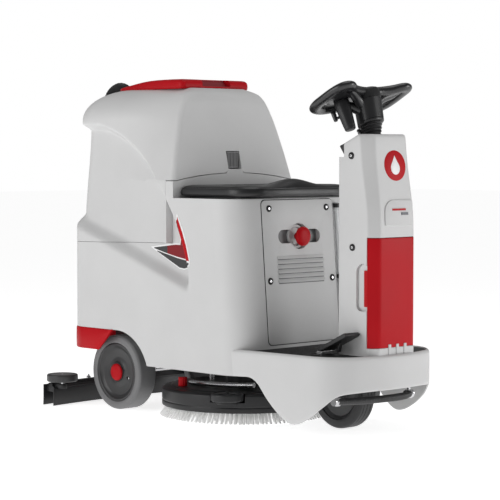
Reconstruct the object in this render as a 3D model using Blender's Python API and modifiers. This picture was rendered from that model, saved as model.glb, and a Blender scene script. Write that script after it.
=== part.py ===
"""Ride-on wet/dry floor scrubber with one disc brush.

Frame: metres, +X forward, +Y to the driver's left, +Z up. The origin is on the floor,
under the middle of the machine's box.
"""
import math

import bmesh
import bpy
from mathutils import Vector

# ---- driving dimensions -------------------------------------------------------------------
GAP = 0.0004                 # clearance between pieces that touch
BODY_REAR = -0.605
BODY_FRONT = 0.675
HALF_WIDTH = 0.275
WALL = 0.007                 # thickness of the moulded shells
REAR_CORNER = 0.09           # plan radius of the rear corners

SILL_Z = 0.165               # lower edge of the body's sides
TAIL_Z = 0.272               # lower edge of the body behind the rear wheels
FLOOR_Z = 0.249              # rim of the footboard
DECK_Z = 0.262               # underside of the tank floor over the brush
SPLIT_Z = 0.564              # joint between lower body and recovery tank
SPLIT_X = -0.091             # front of the recovery tank below the backrest
WALL_TOP_Z = 0.770           # top of the wall behind the seat
BACKREST_X = -0.055
SEAT_BOX_Z = 0.716
SEAT_BOX_FRONT_LOW = 0.268   # the seat box leans back from here ...
SEAT_BOX_FRONT_HIGH = 0.230  # ... to here at the seat
TANK_TOP_Z = 1.075
LIP_Z = 0.97                 # the tank's shoulder starts here

RECESS_DEPTH = 0.030         # the sculpted panel in each side
BRUSH_X = -0.015
BRUSH_RADIUS = 0.275
COVER_RADIUS = 0.27

REAR_WHEEL = Vector((-0.385, 0.204, 0.125))
REAR_WHEEL_WIDTH = 0.077
DRIVE_WHEEL = Vector((0.440, 0.0, 0.105))
DRIVE_WHEEL_WIDTH = 0.070
AXLE_RADIUS = 0.010

COLUMN_FOOT_Z = 0.2465
COLUMN_TOP_Z = 0.917
STEER_CENTRE = Vector((0.505, 0.0, 1.030))
STEER_TILT = math.radians(25)

HINGE = Vector((-0.613, 0.0, 0.561))          # recovery tank hinge line
SEAT_HINGE = Vector((0.236, 0.0, 0.7215))
SQUEEGEE_PIVOT = Vector((-0.430, 0.0, 0.150))
NOZZLE_X = -0.640
HOSE_RADIUS = 0.024
PEDAL_HINGE = Vector((0.497, -0.140, 0.262))
KNOB_Z = 0.595                                # emergency knob in the seat box
ROLLER = Vector((0.140, -0.220, 0.0875))      # off-wall roller on the brush deck
MAT_TOP_Z = 0.2465

scene_collection = bpy.context.scene.collection
for old in list(bpy.data.objects):
    bpy.data.objects.remove(old)
PARTS = bpy.data.collections.new("floor_scrubber")
CUTTERS = bpy.data.collections.new("cutters")
scene_collection.children.link(PARTS)
scene_collection.children.link(CUTTERS)

FINISHES = {                 # colour, roughness, metallic
    "body_grey": ((0.58, 0.58, 0.58), 0.45, 0.0),
    "red_plastic": ((0.56, 0.018, 0.026), 0.40, 0.0),
    "black_plastic": ((0.02, 0.02, 0.02), 0.50, 0.0),
    "dark_grey": ((0.07, 0.07, 0.07), 0.60, 0.0),
    "rubber": ((0.045, 0.045, 0.045), 0.75, 0.0),
    "steel": ((0.55, 0.55, 0.56), 0.30, 1.0),
    "bristle": ((0.85, 0.85, 0.84), 0.55, 0.0),
    "clear": ((0.80, 0.84, 0.86), 0.10, 0.0),
    "seat_vinyl": ((0.018, 0.018, 0.020), 0.45, 0.0),
}


TURNS = {                    # rotations that lay a piece's own Z along an axis
    "Z": (0, 0, 0),
    "X": (0, math.pi / 2, 0),
    "Y": (-math.pi / 2, 0, 0),
    "-Y": (math.pi / 2, 0, 0),
}


# ---- small tools --------------------------------------------------------------------------
def smooth(value):
    t = min(1.0, max(0.0, value))
    return t * t * (3 - 2 * t)


def interpolate(table, value):
    """Straight-line reading of a short table of (position, value) pairs."""
    for (p0, v0), (p1, v1) in zip(table, table[1:]):
        if value <= p1:
            return v0 + (v1 - v0) * max(0.0, (value - p0)) / (p1 - p0)
    return table[-1][1]


def paint(obj, finish):
    material = bpy.data.materials.new(obj.name)
    material.use_nodes = True
    shader = material.node_tree.nodes["Principled BSDF"]
    colour, roughness, metallic = FINISHES[finish]
    shader.inputs["Base Color"].default_value = (*colour, 1.0)
    shader.inputs["Roughness"].default_value = roughness
    shader.inputs["Metallic"].default_value = metallic
    obj.data.materials.clear()
    obj.data.materials.append(material)


def adopt(obj, name, finish=None):
    """Name an object and file it with the parts, or with the cutters when it has no finish."""
    obj.name = name
    for collection in list(obj.users_collection):
        collection.objects.unlink(obj)
    if finish:
        PARTS.objects.link(obj)
        paint(obj, finish)
    else:
        CUTTERS.objects.link(obj)
        obj.hide_render = True
        obj.display_type = "WIRE"
    return obj


def mesh_object(name, build, finish=None):
    """An object whose mesh build(bm) makes."""
    bm = bmesh.new()
    build(bm)
    mesh = bpy.data.meshes.new(name)
    bm.to_mesh(mesh)
    bm.free()
    obj = bpy.data.objects.new(name, mesh)
    scene_collection.objects.link(obj)
    return adopt(obj, name, finish)


def box(name, low, high, finish=None, bevel=0.0):
    low, high = Vector(low), Vector(high)

    def build(bm):
        bmesh.ops.create_cube(bm, size=1.0)
        bmesh.ops.scale(bm, vec=high - low, verts=bm.verts)
        bmesh.ops.translate(bm, vec=(low + high) / 2, verts=bm.verts)

    obj = mesh_object(name, build, finish)
    if bevel:
        modifier = obj.modifiers.new("edges", "BEVEL")
        modifier.width = bevel
        modifier.segments = 2
        modifier.limit_method = "ANGLE"
    return obj


def cylinder(name, centre, radius, length, axis="Z", finish=None, sides=24, radius_end=None):
    def build(bm):
        bmesh.ops.create_cone(bm, cap_ends=True, segments=sides, radius1=radius,
                              radius2=radius if radius_end is None else radius_end, depth=length)

    obj = mesh_object(name, build, finish)
    obj.rotation_euler = TURNS[axis]
    obj.location = centre
    return obj


def turned(name, profile, centre, finish, steps=40, axis="Z", closed=False):
    """A profile of (radius, height) pairs, outer side from top to bottom, turned on its axis."""
    mesh = bpy.data.meshes.new(name)
    points = [(radius, 0.0, height) for radius, height in profile]
    edges = [(i, i + 1) for i in range(len(points) - 1)]
    if closed:
        edges.append((len(points) - 1, 0))
    mesh.from_pydata(points, edges, [])
    obj = bpy.data.objects.new(name, mesh)
    scene_collection.objects.link(obj)
    adopt(obj, name, finish)
    screw = obj.modifiers.new("turn", "SCREW")
    screw.steps = screw.render_steps = steps
    screw.use_merge_vertices = True
    screw.merge_threshold = 0.00005
    obj.rotation_euler = TURNS[axis]
    obj.location = centre
    return obj


def prism(name, outline, low, high, plane="XY", finish=None):
    """A flat outline with its thickness from low to high along the third axis."""
    place = {"XY": lambda a, b, c: (a, b, c), "XZ": lambda a, b, c: (a, c, b),
             "YZ": lambda a, b, c: (c, a, b)}[plane]

    def build(bm):
        face = bm.faces.new([bm.verts.new(place(a, b, low)) for a, b in outline])
        extruded = bmesh.ops.extrude_face_region(bm, geom=[face])
        moved = [item for item in extruded["geom"] if isinstance(item, bmesh.types.BMVert)]
        bmesh.ops.translate(bm, vec=place(0, 0, high - low), verts=moved)
        bmesh.ops.recalc_face_normals(bm, faces=bm.faces)

    return mesh_object(name, build, finish)


def loft(name, rings, finish=None):
    """A closed solid over rings of equal point counts, for bodies whose sections differ."""
    def build(bm):
        rows = [[bm.verts.new(point) for point in ring] for ring in rings]
        count = len(rings[0])
        for lower, upper in zip(rows, rows[1:]):
            for i in range(count):
                j = (i + 1) % count
                bm.faces.new((lower[i], lower[j], upper[j], upper[i]))
        bm.faces.new(rows[0])
        bm.faces.new(rows[-1])
        bmesh.ops.remove_doubles(bm, verts=bm.verts, dist=0.00001)
        bmesh.ops.recalc_face_normals(bm, faces=bm.faces)

    return mesh_object(name, build, finish)


def smooth_route(points, spacing):
    """Points at an even spacing on a Catmull-Rom curve through the given points."""
    route = [Vector(p) for p in points]
    route = [2 * route[0] - route[1]] + route + [2 * route[-1] - route[-2]]
    dense = []
    for a, b, c, d in zip(route, route[1:], route[2:], route[3:]):
        for step in range(16):
            t = step / 16
            dense.append(0.5 * (2 * b + (c - a) * t + (2 * a - 5 * b + 4 * c - d) * t * t
                                + (3 * b - a - 3 * c + d) * t ** 3))
    dense.append(route[-2])
    length = sum((q - p).length for p, q in zip(dense, dense[1:]))
    wanted = max(2, round(length / spacing))
    even, walked, target = [dense[0]], 0.0, length / wanted
    for p, q in zip(dense, dense[1:]):
        step = (q - p).length
        while walked + step >= target * len(even) and len(even) < wanted:
            even.append(p.lerp(q, (target * len(even) - walked) / step))
        walked += step
    return even + [dense[-1]]


def tube(name, points, radius, finish, closed=False, resolution=2, spacing=None):
    """A round tube along the points, as a mesh so that it can be cut and joined."""
    curve = bpy.data.curves.new(name, "CURVE")
    curve.dimensions = "3D"
    curve.bevel_depth = radius
    curve.bevel_resolution = resolution
    curve.use_fill_caps = not closed
    route = smooth_route(points, spacing) if spacing else [Vector(p) for p in points]
    spline = curve.splines.new("POLY")
    spline.points.add(len(route) - 1)
    for place, point in zip(spline.points, route):
        place.co = (*point, 1.0)
    spline.use_cyclic_u = closed
    holder = bpy.data.objects.new(name + "_curve", curve)
    scene_collection.objects.link(holder)
    bpy.context.view_layer.update()
    evaluated = holder.evaluated_get(bpy.context.evaluated_depsgraph_get())
    mesh = bpy.data.meshes.new_from_object(evaluated)
    bm = bmesh.new()
    bm.from_mesh(mesh)
    bmesh.ops.remove_doubles(bm, verts=bm.verts, dist=0.00001)
    bmesh.ops.recalc_face_normals(bm, faces=bm.faces)
    bm.to_mesh(mesh)
    bm.free()
    bpy.data.objects.remove(holder)
    obj = bpy.data.objects.new(name, mesh)
    scene_collection.objects.link(obj)
    return adopt(obj, name, finish)


def boolean(obj, other, operation):
    """Cut or join with a helper, which then follows the piece wherever its joint stands."""
    other.parent = obj
    other.matrix_parent_inverse = obj.matrix_basis.inverted()
    modifier = obj.modifiers.new(other.name, "BOOLEAN")
    modifier.operation = operation
    modifier.object = other
    return obj


def cut(obj, *others):
    for other in others:
        boolean(obj, other, "DIFFERENCE")
    return obj


def join(obj, *others):
    for other in others:
        boolean(obj, other, "UNION")
    return obj


def arc(centre, radius, start, end, steps):
    """Points on a circle's arc, angles in degrees."""
    angles = [math.radians(start + (end - start) * i / steps) for i in range(steps + 1)]
    return [(centre[0] + radius * math.cos(a), centre[1] + radius * math.sin(a)) for a in angles]


def pivot(name, location, *objects):
    """An empty on a joint's axis that carries the pieces which move with it."""
    empty = bpy.data.objects.new(name, None)
    PARTS.objects.link(empty)
    empty.location = location
    for obj in objects:
        obj.parent = empty
        obj.matrix_parent_inverse.identity()
        obj.location = Vector(obj.location) - Vector(location)
    return empty


# ---- the skin of body and tank ------------------------------------------------------------
SHOULDER_FRONT = [(0.77, 0.275), (0.90, 0.240), (1.0, 0.204), (1.055, 0.166), (1.075, 0.120)]
BACKREST_LEAN = [(0.77, -0.055), (1.0, -0.091), (1.055, -0.105), (1.075, -0.135)]
RECESS_ARC = (-0.46, 0.46, 0.48, 0.50)        # centre x, z and half axes of its upper edge
RECESS_FOOT = (0.553, -0.40, -0.337)          # z at x, and slope, of its lower edge


def recess(x, z):
    """0 on the outer skin, 1 in the sculpted side panel."""
    cx, cz, ax, az = RECESS_ARC
    reach = (max(0.0, x - cx) / ax) ** 1.6 + (max(0.0, z - cz) / az) ** 1.6
    foot_z, foot_x, slope = RECESS_FOOT
    return smooth((1 - reach) / 0.06) * smooth((z - foot_z - slope * (x - foot_x)) / 0.045)


def shoulder(z):
    """How far up the shoulder a height is, from 0 at the lip to 1 at the top."""
    return min(1.0, max(0.0, (z - LIP_Z) / (TANK_TOP_Z - LIP_Z)))


def side_reach(x, z):
    """Half width of the outer skin, without the recess."""
    lean = 0.015 * smooth((z - 0.60) / 0.37)
    rear = HALF_WIDTH - lean
    if z > LIP_Z:
        rear = 0.12 + (rear - 0.12) * math.sqrt(1 - shoulder(z) ** 2)
    front = interpolate(SHOULDER_FRONT, z)
    share = smooth((x + 0.42) / 0.33)
    return rear + (front - rear) * share


def rear_reach(z):
    lean = 0.015 * smooth((z - 0.60) / 0.37)
    return BODY_REAR + lean + 0.13 * (1 - math.sqrt(1 - shoulder(z) ** 2))


def skin_ring(z, rear_x, front_x, rear_radius, front_radius, side_steps=12, tilt=0.0, inset=0.0):
    """One level section of body or tank: the right half from rear to front, then its mirror image."""
    half = []
    corner_steps = 5

    def add(x, y, nx, ny):
        depth = RECESS_DEPTH * recess(x, z) * (1 - max(0.0, nx)) + inset
        half.append((x - nx * depth, min(0.0, y - ny * depth), z + tilt * (x - rear_x)))

    rear_half = side_reach(rear_x + rear_radius, z)
    add(rear_x, 0.0, -1, 0)
    for x, y in arc((rear_x + rear_radius, -rear_half + rear_radius), rear_radius, 180, 270, corner_steps):
        add(x, y, (x - rear_x - rear_radius) / rear_radius, (y + rear_half - rear_radius) / rear_radius)
    start, end = rear_x + rear_radius, front_x - front_radius
    for i in range(1, side_steps):
        x = start + (end - start) * i / side_steps
        add(x, -side_reach(x, z), 0, -1)
    front_width = side_reach(end, z)
    for x, y in arc((end, -front_width + front_radius), front_radius, 270, 360, corner_steps):
        add(x, y, (x - end) / front_radius, (y + front_width - front_radius) / front_radius)
    add(front_x, 0.0, 1, 0)
    return half + [(x, -y, z_) for x, y, z_ in half[-2:0:-1]]


# ---- lower body ---------------------------------------------------------------------------
def seat_box_front(z):
    share = (z - 0.254) / (SEAT_BOX_Z - 0.254)
    return SEAT_BOX_FRONT_LOW + (SEAT_BOX_FRONT_HIGH - SEAT_BOX_FRONT_LOW) * share


def bumper_outline(inset=0.0):
    """Plan outline of footboard and bumper: tapering sides and a bowed front."""
    half = [(-0.20, -0.2743), (0.085, -0.2743), (0.30, -0.258), (0.500, -0.2435)]
    half += arc((0.520, -0.1055), 0.138, -86, -15, 8)
    bow_end = half[-1]
    for step in (0.66, 0.33, 0.0):
        y = bow_end[1] * step
        half.append((bow_end[0] + (BODY_FRONT - bow_end[0]) * (1 - step * step), y))
    shrunk = [(x if i == 0 else x - inset * max(0.0, (x - 0.35)) / 0.325, y * (1 - inset / 0.25))
              for i, (x, y) in enumerate(half)]
    return shrunk + [(x, -y) for x, y in shrunk[-2::-1]]


def side_profile():
    """Everything of the lower body that lies above its lower edge, seen from the side."""
    arch = arc((-0.34, 0.108), 0.164, 90, 20, 7)
    skirt = [(0.240, SILL_Z), (0.285, 0.165), (0.318, 0.148), (0.350, 0.108), (0.393, 0.065),
             (0.430, 0.040), (0.455, 0.034), (0.490, 0.042), (0.530, 0.064), (0.575, 0.098),
             (0.612, 0.130), (0.655, 0.141), (0.72, 0.144)]
    return [(-0.65, TAIL_Z)] + arch + skirt + [(0.72, 0.85), (-0.65, 0.85)]


def backrest_arch(clearance=0.0):
    """The arched line on top of the wall behind the seat, with its central tab, left to right."""
    tab = 0.0315 + clearance
    half = [(0.40, WALL_TOP_Z + clearance), (0.262, WALL_TOP_Z + clearance)]
    for step in (0.75, 0.50, 0.25):
        half.append((0.262 * step, WALL_TOP_Z + 0.024 * (1 - step * step) + clearance))
    half += [(tab, 0.7936 + clearance), (tab, 0.806 + clearance)]
    return half + [(-y, z) for y, z in half[::-1]]


def split_z(x):
    """The joint between body and tank falls slightly to the rear."""
    return SPLIT_Z + 0.005 - 0.010 * (SPLIT_X - x) / (SPLIT_X - BODY_REAR)


def build_main_body():
    rings = []
    for z in (0.10, 0.254, 0.40, 0.445, 0.48, 0.52, 0.56, 0.60, 0.65, 0.70, 0.76, 0.83):
        rings.append(skin_ring(z, BODY_REAR, seat_box_front(z), REAR_CORNER, 0.105, side_steps=16))
    body = loft("main_body", rings, "body_grey")
    above_split = [(-0.70, split_z(-0.70)), (SPLIT_X, split_z(SPLIT_X)), (SPLIT_X, 0.90), (-0.70, 0.90)]
    cut(body, prism("above_split", above_split, -0.4, 0.4, "XZ"))
    cut(body, prism("above_wall", backrest_arch() + [(-0.40, 0.92), (0.40, 0.92)], -0.2, 0.0, "YZ"))
    cut(body, box("above_seat_box", (BACKREST_X, -0.4, SEAT_BOX_Z), (0.4, 0.4, 0.91)))
    join(body, prism("bumper", bumper_outline(), 0.02, FLOOR_Z))
    boolean(body, prism("side_profile", side_profile(), -0.41, 0.41, "XZ"), "INTERSECT")
    keep = [skin_ring(z, 0.0, seat_box_front(0.254) - 0.0006, 0.002, 0.105, side_steps=8)
            for z in (0.20, 0.30)]
    footwell = prism("footwell", bumper_outline(0.009)[1:-1], FLOOR_Z - 0.008, FLOOR_Z + 0.02)
    cut(body, cut(footwell, loft("seat_box_foot", keep)))
    cut(body, prism("bumper_bay", bumper_outline(WALL), 0.0, 0.2345))
    cut(body, box("wheel_bay", (-0.580, -0.252, 0.0), (0.245, 0.252, DECK_Z)))
    cut(body, box("battery_bay", (-0.045, -0.225, 0.270), (0.215, 0.225, 0.80)))
    cut(body, box("solution_bay", (-0.575, -0.225, 0.284), (-0.105, 0.225, 0.70)))
    knob_x, knob_z = 0.221, KNOB_Z
    cut(body, cylinder("knob_pocket", (knob_x + 0.05, 0, knob_z), 0.041, 0.10, "X"))
    cut(body, box("knob_slot", (knob_x + 0.002, -0.094, knob_z - 0.0215),
                  (knob_x + 0.1, 0.094, knob_z + 0.0215)))
    return body


main_body = build_main_body()


# ---- covers on the lower body -------------------------------------------------------------
def build_bumper_cover():
    """The red bumper that wraps the tail between the wheel arches."""
    def wrap(grow):
        corner = arc((BODY_REAR + REAR_CORNER, -HALF_WIDTH + REAR_CORNER), REAR_CORNER + grow, 270, 180, 6)
        half = [(-0.350, -HALF_WIDTH - grow)] + corner
        return half + [(x, -y) for x, y in half[::-1]]

    cover = prism("rear_bumper_cover", wrap(0.002) + wrap(-0.006)[::-1], 0.200, TAIL_Z - GAP,
                  finish="red_plastic")
    slant = [(-0.441, 0.19), (-0.352, 0.28), (-0.30, 0.28), (-0.30, 0.19)]
    return cut(cover, prism("bumper_slant", slant, -0.4, 0.4, "XZ"))


def build_front_panel():
    """Access panel on the leaning front of the seat box, with the knob's opening."""
    low_z, high_z = 0.256, 0.712
    outline = [(seat_box_front(low_z) + GAP, low_z), (seat_box_front(low_z) + 0.0034, low_z),
               (seat_box_front(high_z) + 0.0034, high_z), (seat_box_front(high_z) + GAP, high_z)]
    panel = prism("seat_box_panel", outline, -0.160, 0.160, "XZ", "body_grey")
    cut(panel, cylinder("panel_hole", (0.25, 0, KNOB_Z), 0.041, 0.10, "X"))
    return cut(panel, box("panel_slot", (0.20, -0.094, KNOB_Z - 0.0215), (0.30, 0.094, KNOB_Z + 0.0215)))


def build_mat():
    """Ribbed rubber on the footboard, cut out round the seat box and the column."""
    mat = prism("footboard_mat", bumper_outline(0.0105)[1:-1], FLOOR_Z - 0.008 + GAP, MAT_TOP_Z,
                finish="rubber")
    foot = [skin_ring(z, 0.0, seat_box_front(0.254) + 0.001, 0.002, 0.105, side_steps=8, inset=-0.001)
            for z in (0.20, 0.30)]
    cut(mat, loft("mat_seat_box", foot))
    return cut(mat, box("mat_column", (0.5115, -0.1045, 0.20), (0.70, 0.1045, 0.30)))


def lean_x(z):
    """Where a piece 8 mm in front of the seat box stands."""
    return seat_box_front(z) + 0.008


build_bumper_cover()
build_front_panel()
build_mat()
tube("level_tube", [(lean_x(0.250), 0.174, 0.250), (lean_x(0.700), 0.174, 0.700)], 0.006, "clear")

# ---- inside the lower body ----------------------------------------------------------------
solution_tank = box("solution_tank", (-0.573, -0.223, 0.2845), (-0.300, 0.223, 0.548), "clear")
cut(solution_tank, box("solution_inside", (-0.567, -0.217, 0.2905), (-0.306, 0.217, 0.542)))
cut(solution_tank, cylinder("solution_filler", (-0.43, 0.12, 0.545), 0.040, 0.03))
turned("suction_motor", [(0, 0.135), (0.045, 0.135), (0.050, 0.085), (0.070, 0.080), (0.070, 0.0), (0, 0)],
       (-0.200, 0, 0.2845), "black_plastic", steps=24)
battery = box("battery_pack", (-0.025, -0.205, 0.2704), (0.195, 0.205, 0.500), "dark_grey")
for index, (x, y) in enumerate(((0.0, -0.107), (0.17, -0.107), (0.0, 0.107), (0.17, 0.107))):
    join(battery, cylinder(f"battery_post_{index}", (x, y, 0.504), 0.009, 0.02, sides=12))
cut(battery, box("battery_seam", (-0.1, -0.003, 0.478), (0.3, 0.003, 0.60)))


def build_frame():
    """Steel frame under the tanks, with axle brackets, bearing plate and squeegee bracket."""
    frame = box("chassis_frame", (0.205, -0.140, 0.2222), (0.560, 0.140, 0.2340), "dark_grey")
    for side in (-1, 1):
        inner, outer = sorted((side * 0.120, side * 0.145))
        join(frame, box(f"rail_{side}", (-0.500, inner, 0.2280), (0.2400, outer, 0.2612)))
        near, far = sorted((side * 0.1235, side * 0.1415))
        join(frame, box(f"axle_bracket_{side}", (-0.405, near, 0.1020), (-0.365, far, 0.2400)))
    for index, x in enumerate((-0.490, -0.290)):
        join(frame, box(f"cross_bar_{index}", (x - 0.014, -0.130, 0.2320), (x + 0.014, 0.130, 0.2580)))
    bracket = [(-0.480, 0.245), (-0.452, 0.150)] + arc((-0.430, 0.150), 0.016, 180, 360, 6)
    bracket += [(-0.395, 0.225), (-0.283, 0.245)]
    join(frame, prism("squeegee_bracket", bracket, -0.012, 0.012, "XZ"))
    cut(frame, cylinder("axle_bore", (REAR_WHEEL.x, 0, REAR_WHEEL.z), AXLE_RADIUS + GAP, 0.60, "Y"))
    cut(frame, cylinder("kingpin_bore", (DRIVE_WHEEL.x, 0, 0.23), 0.0184, 0.10))
    return cut(frame, cylinder("pivot_bore", SQUEEGEE_PIVOT, 0.0064, 0.10, "Y", sides=16))


build_frame()
cylinder("rear_axle", (REAR_WHEEL.x, 0, REAR_WHEEL.z), AXLE_RADIUS, 0.467, "Y", "steel")
actuator = cylinder("lift_actuator", (-0.170, 0, 0.2110), 0.016, 0.1010, finish="steel")
cut(actuator, cylinder("actuator_bore", (-0.170, 0, 0.200), 0.0084, 0.110, sides=16))


# ---- hose under the bumper ----------------------------------------------------------------
def build_front_hose():
    """The hose that loops under the bumper, with the fitting and hanger at each end."""
    route = [(0.565, -0.155, 0.107), (0.598, -0.09, 0.107), (0.612, 0, 0.107), (0.605, 0.09, 0.106),
             (0.575, 0.155, 0.105)]
    hose = tube("front_hose", route, 0.011, "dark_grey", spacing=0.03)
    for side, x, y, z in (("right", 0.560, -0.1585, 0.107), ("left", 0.571, 0.1585, 0.105)):
        join(hose, cylinder("hose_fitting_" + side, (x, y, z), 0.0155, 0.018, "Y", sides=12))
        join(hose, cylinder("fitting_post_" + side, (x, y, (z + 0.2340) / 2), 0.006, 0.2340 - z, sides=10))


build_front_hose()


# ---- recovery tank ------------------------------------------------------------------------
def tank_front(z):
    return interpolate(BACKREST_LEAN, z)


def build_tank():
    rings = [skin_ring(split_z(BODY_REAR) + GAP, BODY_REAR, tank_front(0.5), REAR_CORNER, 0.02,
                       side_steps=16, tilt=(split_z(SPLIT_X) - split_z(BODY_REAR)) / (SPLIT_X - BODY_REAR))]
    for z in (0.60, 0.64, 0.68, 0.73, 0.77, 0.83, 0.88, 0.92, 0.95, 0.975, 1.0, 1.03, 1.055, 1.0745):
        rings.append(skin_ring(z, rear_reach(z), tank_front(z), REAR_CORNER, 0.02, side_steps=16))
    tank = loft("recovery_tank", rings, "body_grey")
    below_arch = backrest_arch(0.0012) + [(-0.40, 0.50), (0.40, 0.50)]
    cut(tank, prism("tank_ledge", below_arch, SPLIT_X - 0.0008, 0.1, "YZ"))
    cut(tank, box("latch_pocket", (SPLIT_X + 0.0005, -0.0300, 0.800), (-0.03, 0.0300, 0.8670)))
    inside = [skin_ring(z, rear_reach(z), SPLIT_X - 0.012, REAR_CORNER, 0.02, side_steps=10, inset=0.013)
              for z in (0.580, 0.60, 0.64, 0.68, 0.77, 0.88, 0.95, 1.0, 1.035)]
    cut(tank, loft("tank_inside", inside))
    cut(tank, box("tank_neck", (-0.445, -0.095, 1.02), (-0.170, 0.095, 1.10)))
    return cut(tank, cylinder("hose_port", (-0.515, -0.060, 1.085), 0.0256, 0.120, sides=20))


def rounded_plan(x0, x1, half, radius, z, steps=3):
    """A level rounded rectangle, symmetric about the centre line."""
    ring = arc((x1 - radius, half - radius), radius, 0, 90, steps)
    ring += arc((x0 + radius, half - radius), radius, 90, 180, steps)
    ring += arc((x0 + radius, -half + radius), radius, 180, 270, steps)
    ring += arc((x1 - radius, -half + radius), radius, 270, 360, steps)
    return [(x, y, z) for x, y in ring]


HOSE_ROUTE = [(-0.641, 0, 0.5425), (-0.641, 0, 0.62), (-0.641, -0.005, 0.80), (-0.642, -0.03, 0.94),
              (-0.640, -0.05, 1.010), (-0.618, -0.058, 1.058), (-0.573, -0.060, 1.080),
              (-0.532, -0.060, 1.064), (-0.515, -0.060, 1.028)]
tank = build_tank()
cut(tank, tube("hose_channel", HOSE_ROUTE, HOSE_RADIUS + 0.002, None, spacing=0.042))
latch = box("tank_latch", (-0.0898, -0.0294, 0.8085), (-0.0690, 0.0294, 0.8664), "dark_grey")
seal_outer = [(x, y) for x, y, z in rounded_plan(-0.468, -0.150, 0.112, 0.02, 0)]
seal = prism("tank_seal", seal_outer, 1.0749, 1.0781, finish="rubber")
cut(seal, box("seal_inside", (-0.445, -0.095, 1.0), (-0.170, 0.095, 1.2)))
for side in (-1, 1):
    name = "left" if side > 0 else "right"
    low, high = sorted((side * 0.150, side * 0.200))
    leaf = box("tank_hinge_" + name, (-0.6090, low, 0.5280), (-0.6054, high, 0.5590), "black_plastic")
    join(leaf, cylinder("knuckle_" + name, (HINGE.x, side * 0.175, HINGE.z), 0.0058, 0.050, "Y", sides=12))
pivot("tank_pivot", HINGE, tank, latch, seal)

lid = loft("tank_lid", [rounded_plan(-0.486, -0.142, 0.140, 0.03, 1.0785),
                        rounded_plan(-0.484, -0.140, 0.142, 0.03, 1.0840),
                        rounded_plan(-0.400, -0.148, 0.132, 0.03, 1.0980),
                        rounded_plan(-0.320, -0.162, 0.112, 0.03, 1.1050)], "red_plastic")
pivot("lid_pivot", (-0.482, 0, 1.0790), lid)

# ---- suction hose -------------------------------------------------------------------------
tube("suction_hose_upper", HOSE_ROUTE, HOSE_RADIUS, "rubber", spacing=0.042)
tube("suction_hose_lower", [(NOZZLE_X, 0, 0.1365), (-0.640, 0, 0.25), (-0.641, 0, 0.38), (-0.641, 0, 0.4975)],
     HOSE_RADIUS, "rubber", spacing=0.045)
coupling = cylinder("hose_coupling", (-0.641, 0, 0.520), 0.0275, 0.044, finish="black_plastic")
join(coupling, box("coupling_bracket", (-0.630, -0.020, 0.508), (-0.6054, 0.020, 0.532)))

# ---- seat ---------------------------------------------------------------------------------
seat_base = box("seat_base", (-0.045, -0.235, SEAT_BOX_Z + GAP), (0.235, 0.235, 0.7208), "black_plastic")
seat = loft("seat_cushion", [rounded_plan(-0.046, 0.250, 0.242, 0.05, 0.7212),
                             rounded_plan(-0.053, 0.258, 0.250, 0.055, 0.7280),
                             rounded_plan(-0.053, 0.258, 0.250, 0.055, 0.7450),
                             rounded_plan(-0.046, 0.248, 0.243, 0.05, 0.7560),
                             rounded_plan(-0.020, 0.225, 0.215, 0.05, 0.7630)], "seat_vinyl")
pivot("seat_pivot", SEAT_HINGE, seat_base, seat)


# ---- emergency knob -----------------------------------------------------------------------
knob = cylinder("emergency_knob", (0.2590, 0, KNOB_Z), 0.0300, 0.024, "X", "red_plastic")
join(knob, cylinder("knob_stem", (0.2405, 0, KNOB_Z), 0.0120, 0.0210, "X", sides=16))
pivot("knob_slide", (0.2480, 0, KNOB_Z), knob)


# ---- steering column ----------------------------------------------------------------------
COLUMN_FRONT = [(0.25, 0.661), (0.604, 0.661), (0.684, 0.659), (0.822, 0.640), (0.917, 0.631)]
COLUMN_CHAMFER = [(0.25, 0.025), (0.604, 0.027), (0.917, 0.039)]
COLUMN_NOSE = [(0.25, 0.078), (0.604, 0.076), (0.917, 0.062)]
COLUMN_SIDE = 0.103
COLUMN_REAR = 0.513


def column_ring(z, rear=COLUMN_REAR, corner=0.012):
    front = interpolate(COLUMN_FRONT, z)
    chamfer = interpolate(COLUMN_CHAMFER, z)
    nose = interpolate(COLUMN_NOSE, z)
    half = [(rear, -COLUMN_SIDE + corner), (rear + corner, -COLUMN_SIDE),
            (front - chamfer, -COLUMN_SIDE), (front, -nose)]
    return [(x, y, z) for x, y in half] + [(x, -y, z) for x, y in half[::-1]]


def cover_outline(depth):
    """The front and its two chamfers, set back by depth, from right to left."""
    front, chamfer, nose = 0.661 - depth, 0.026, 0.077 - depth * 0.4
    half = [(front - chamfer, -COLUMN_SIDE - 0.0006 + depth * 0.9), (front, -nose)]
    return half + [(x, -y) for x, y in half[::-1]]


def build_column():
    column = loft("column_housing", [column_ring(z) for z in (0.2414, 0.604, 0.684, 0.822, 0.848)]
                  + [column_ring(0.857, 0.533), column_ring(0.917, 0.533)], "body_grey")
    above_console = [(0.388, 0.8235), (0.533, 0.890), (0.593, 0.9175), (0.593, 0.95), (0.388, 0.95)]
    cut(column, prism("console_slope", above_console, -0.2, 0.2, "XZ"))
    cut(column, box("column_inside", (0.521, -0.092, 0.20), (0.622, 0.092, 0.835)))
    seat = cover_outline(0.0036)
    behind_cover = seat + [(seat[0][0], 0.12), (0.75, 0.12), (0.75, -0.12), (seat[0][0], -0.12)]
    cut(column, prism("cover_seat", behind_cover, 0.2690, 0.6048))
    return column


def on_steering_axis(distance):
    """A point below the steering wheel's centre on the tilted steering axis."""
    return STEER_CENTRE - Vector((-math.sin(STEER_TILT), 0, math.cos(STEER_TILT))) * distance


def tilted(obj, distance, side=0.0):
    """Stand a piece on the steering axis, side metres to the left of it."""
    obj.rotation_euler = (0, -STEER_TILT, 0)
    obj.location = on_steering_axis(distance) + Vector((0, side, 0))
    return obj


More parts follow.
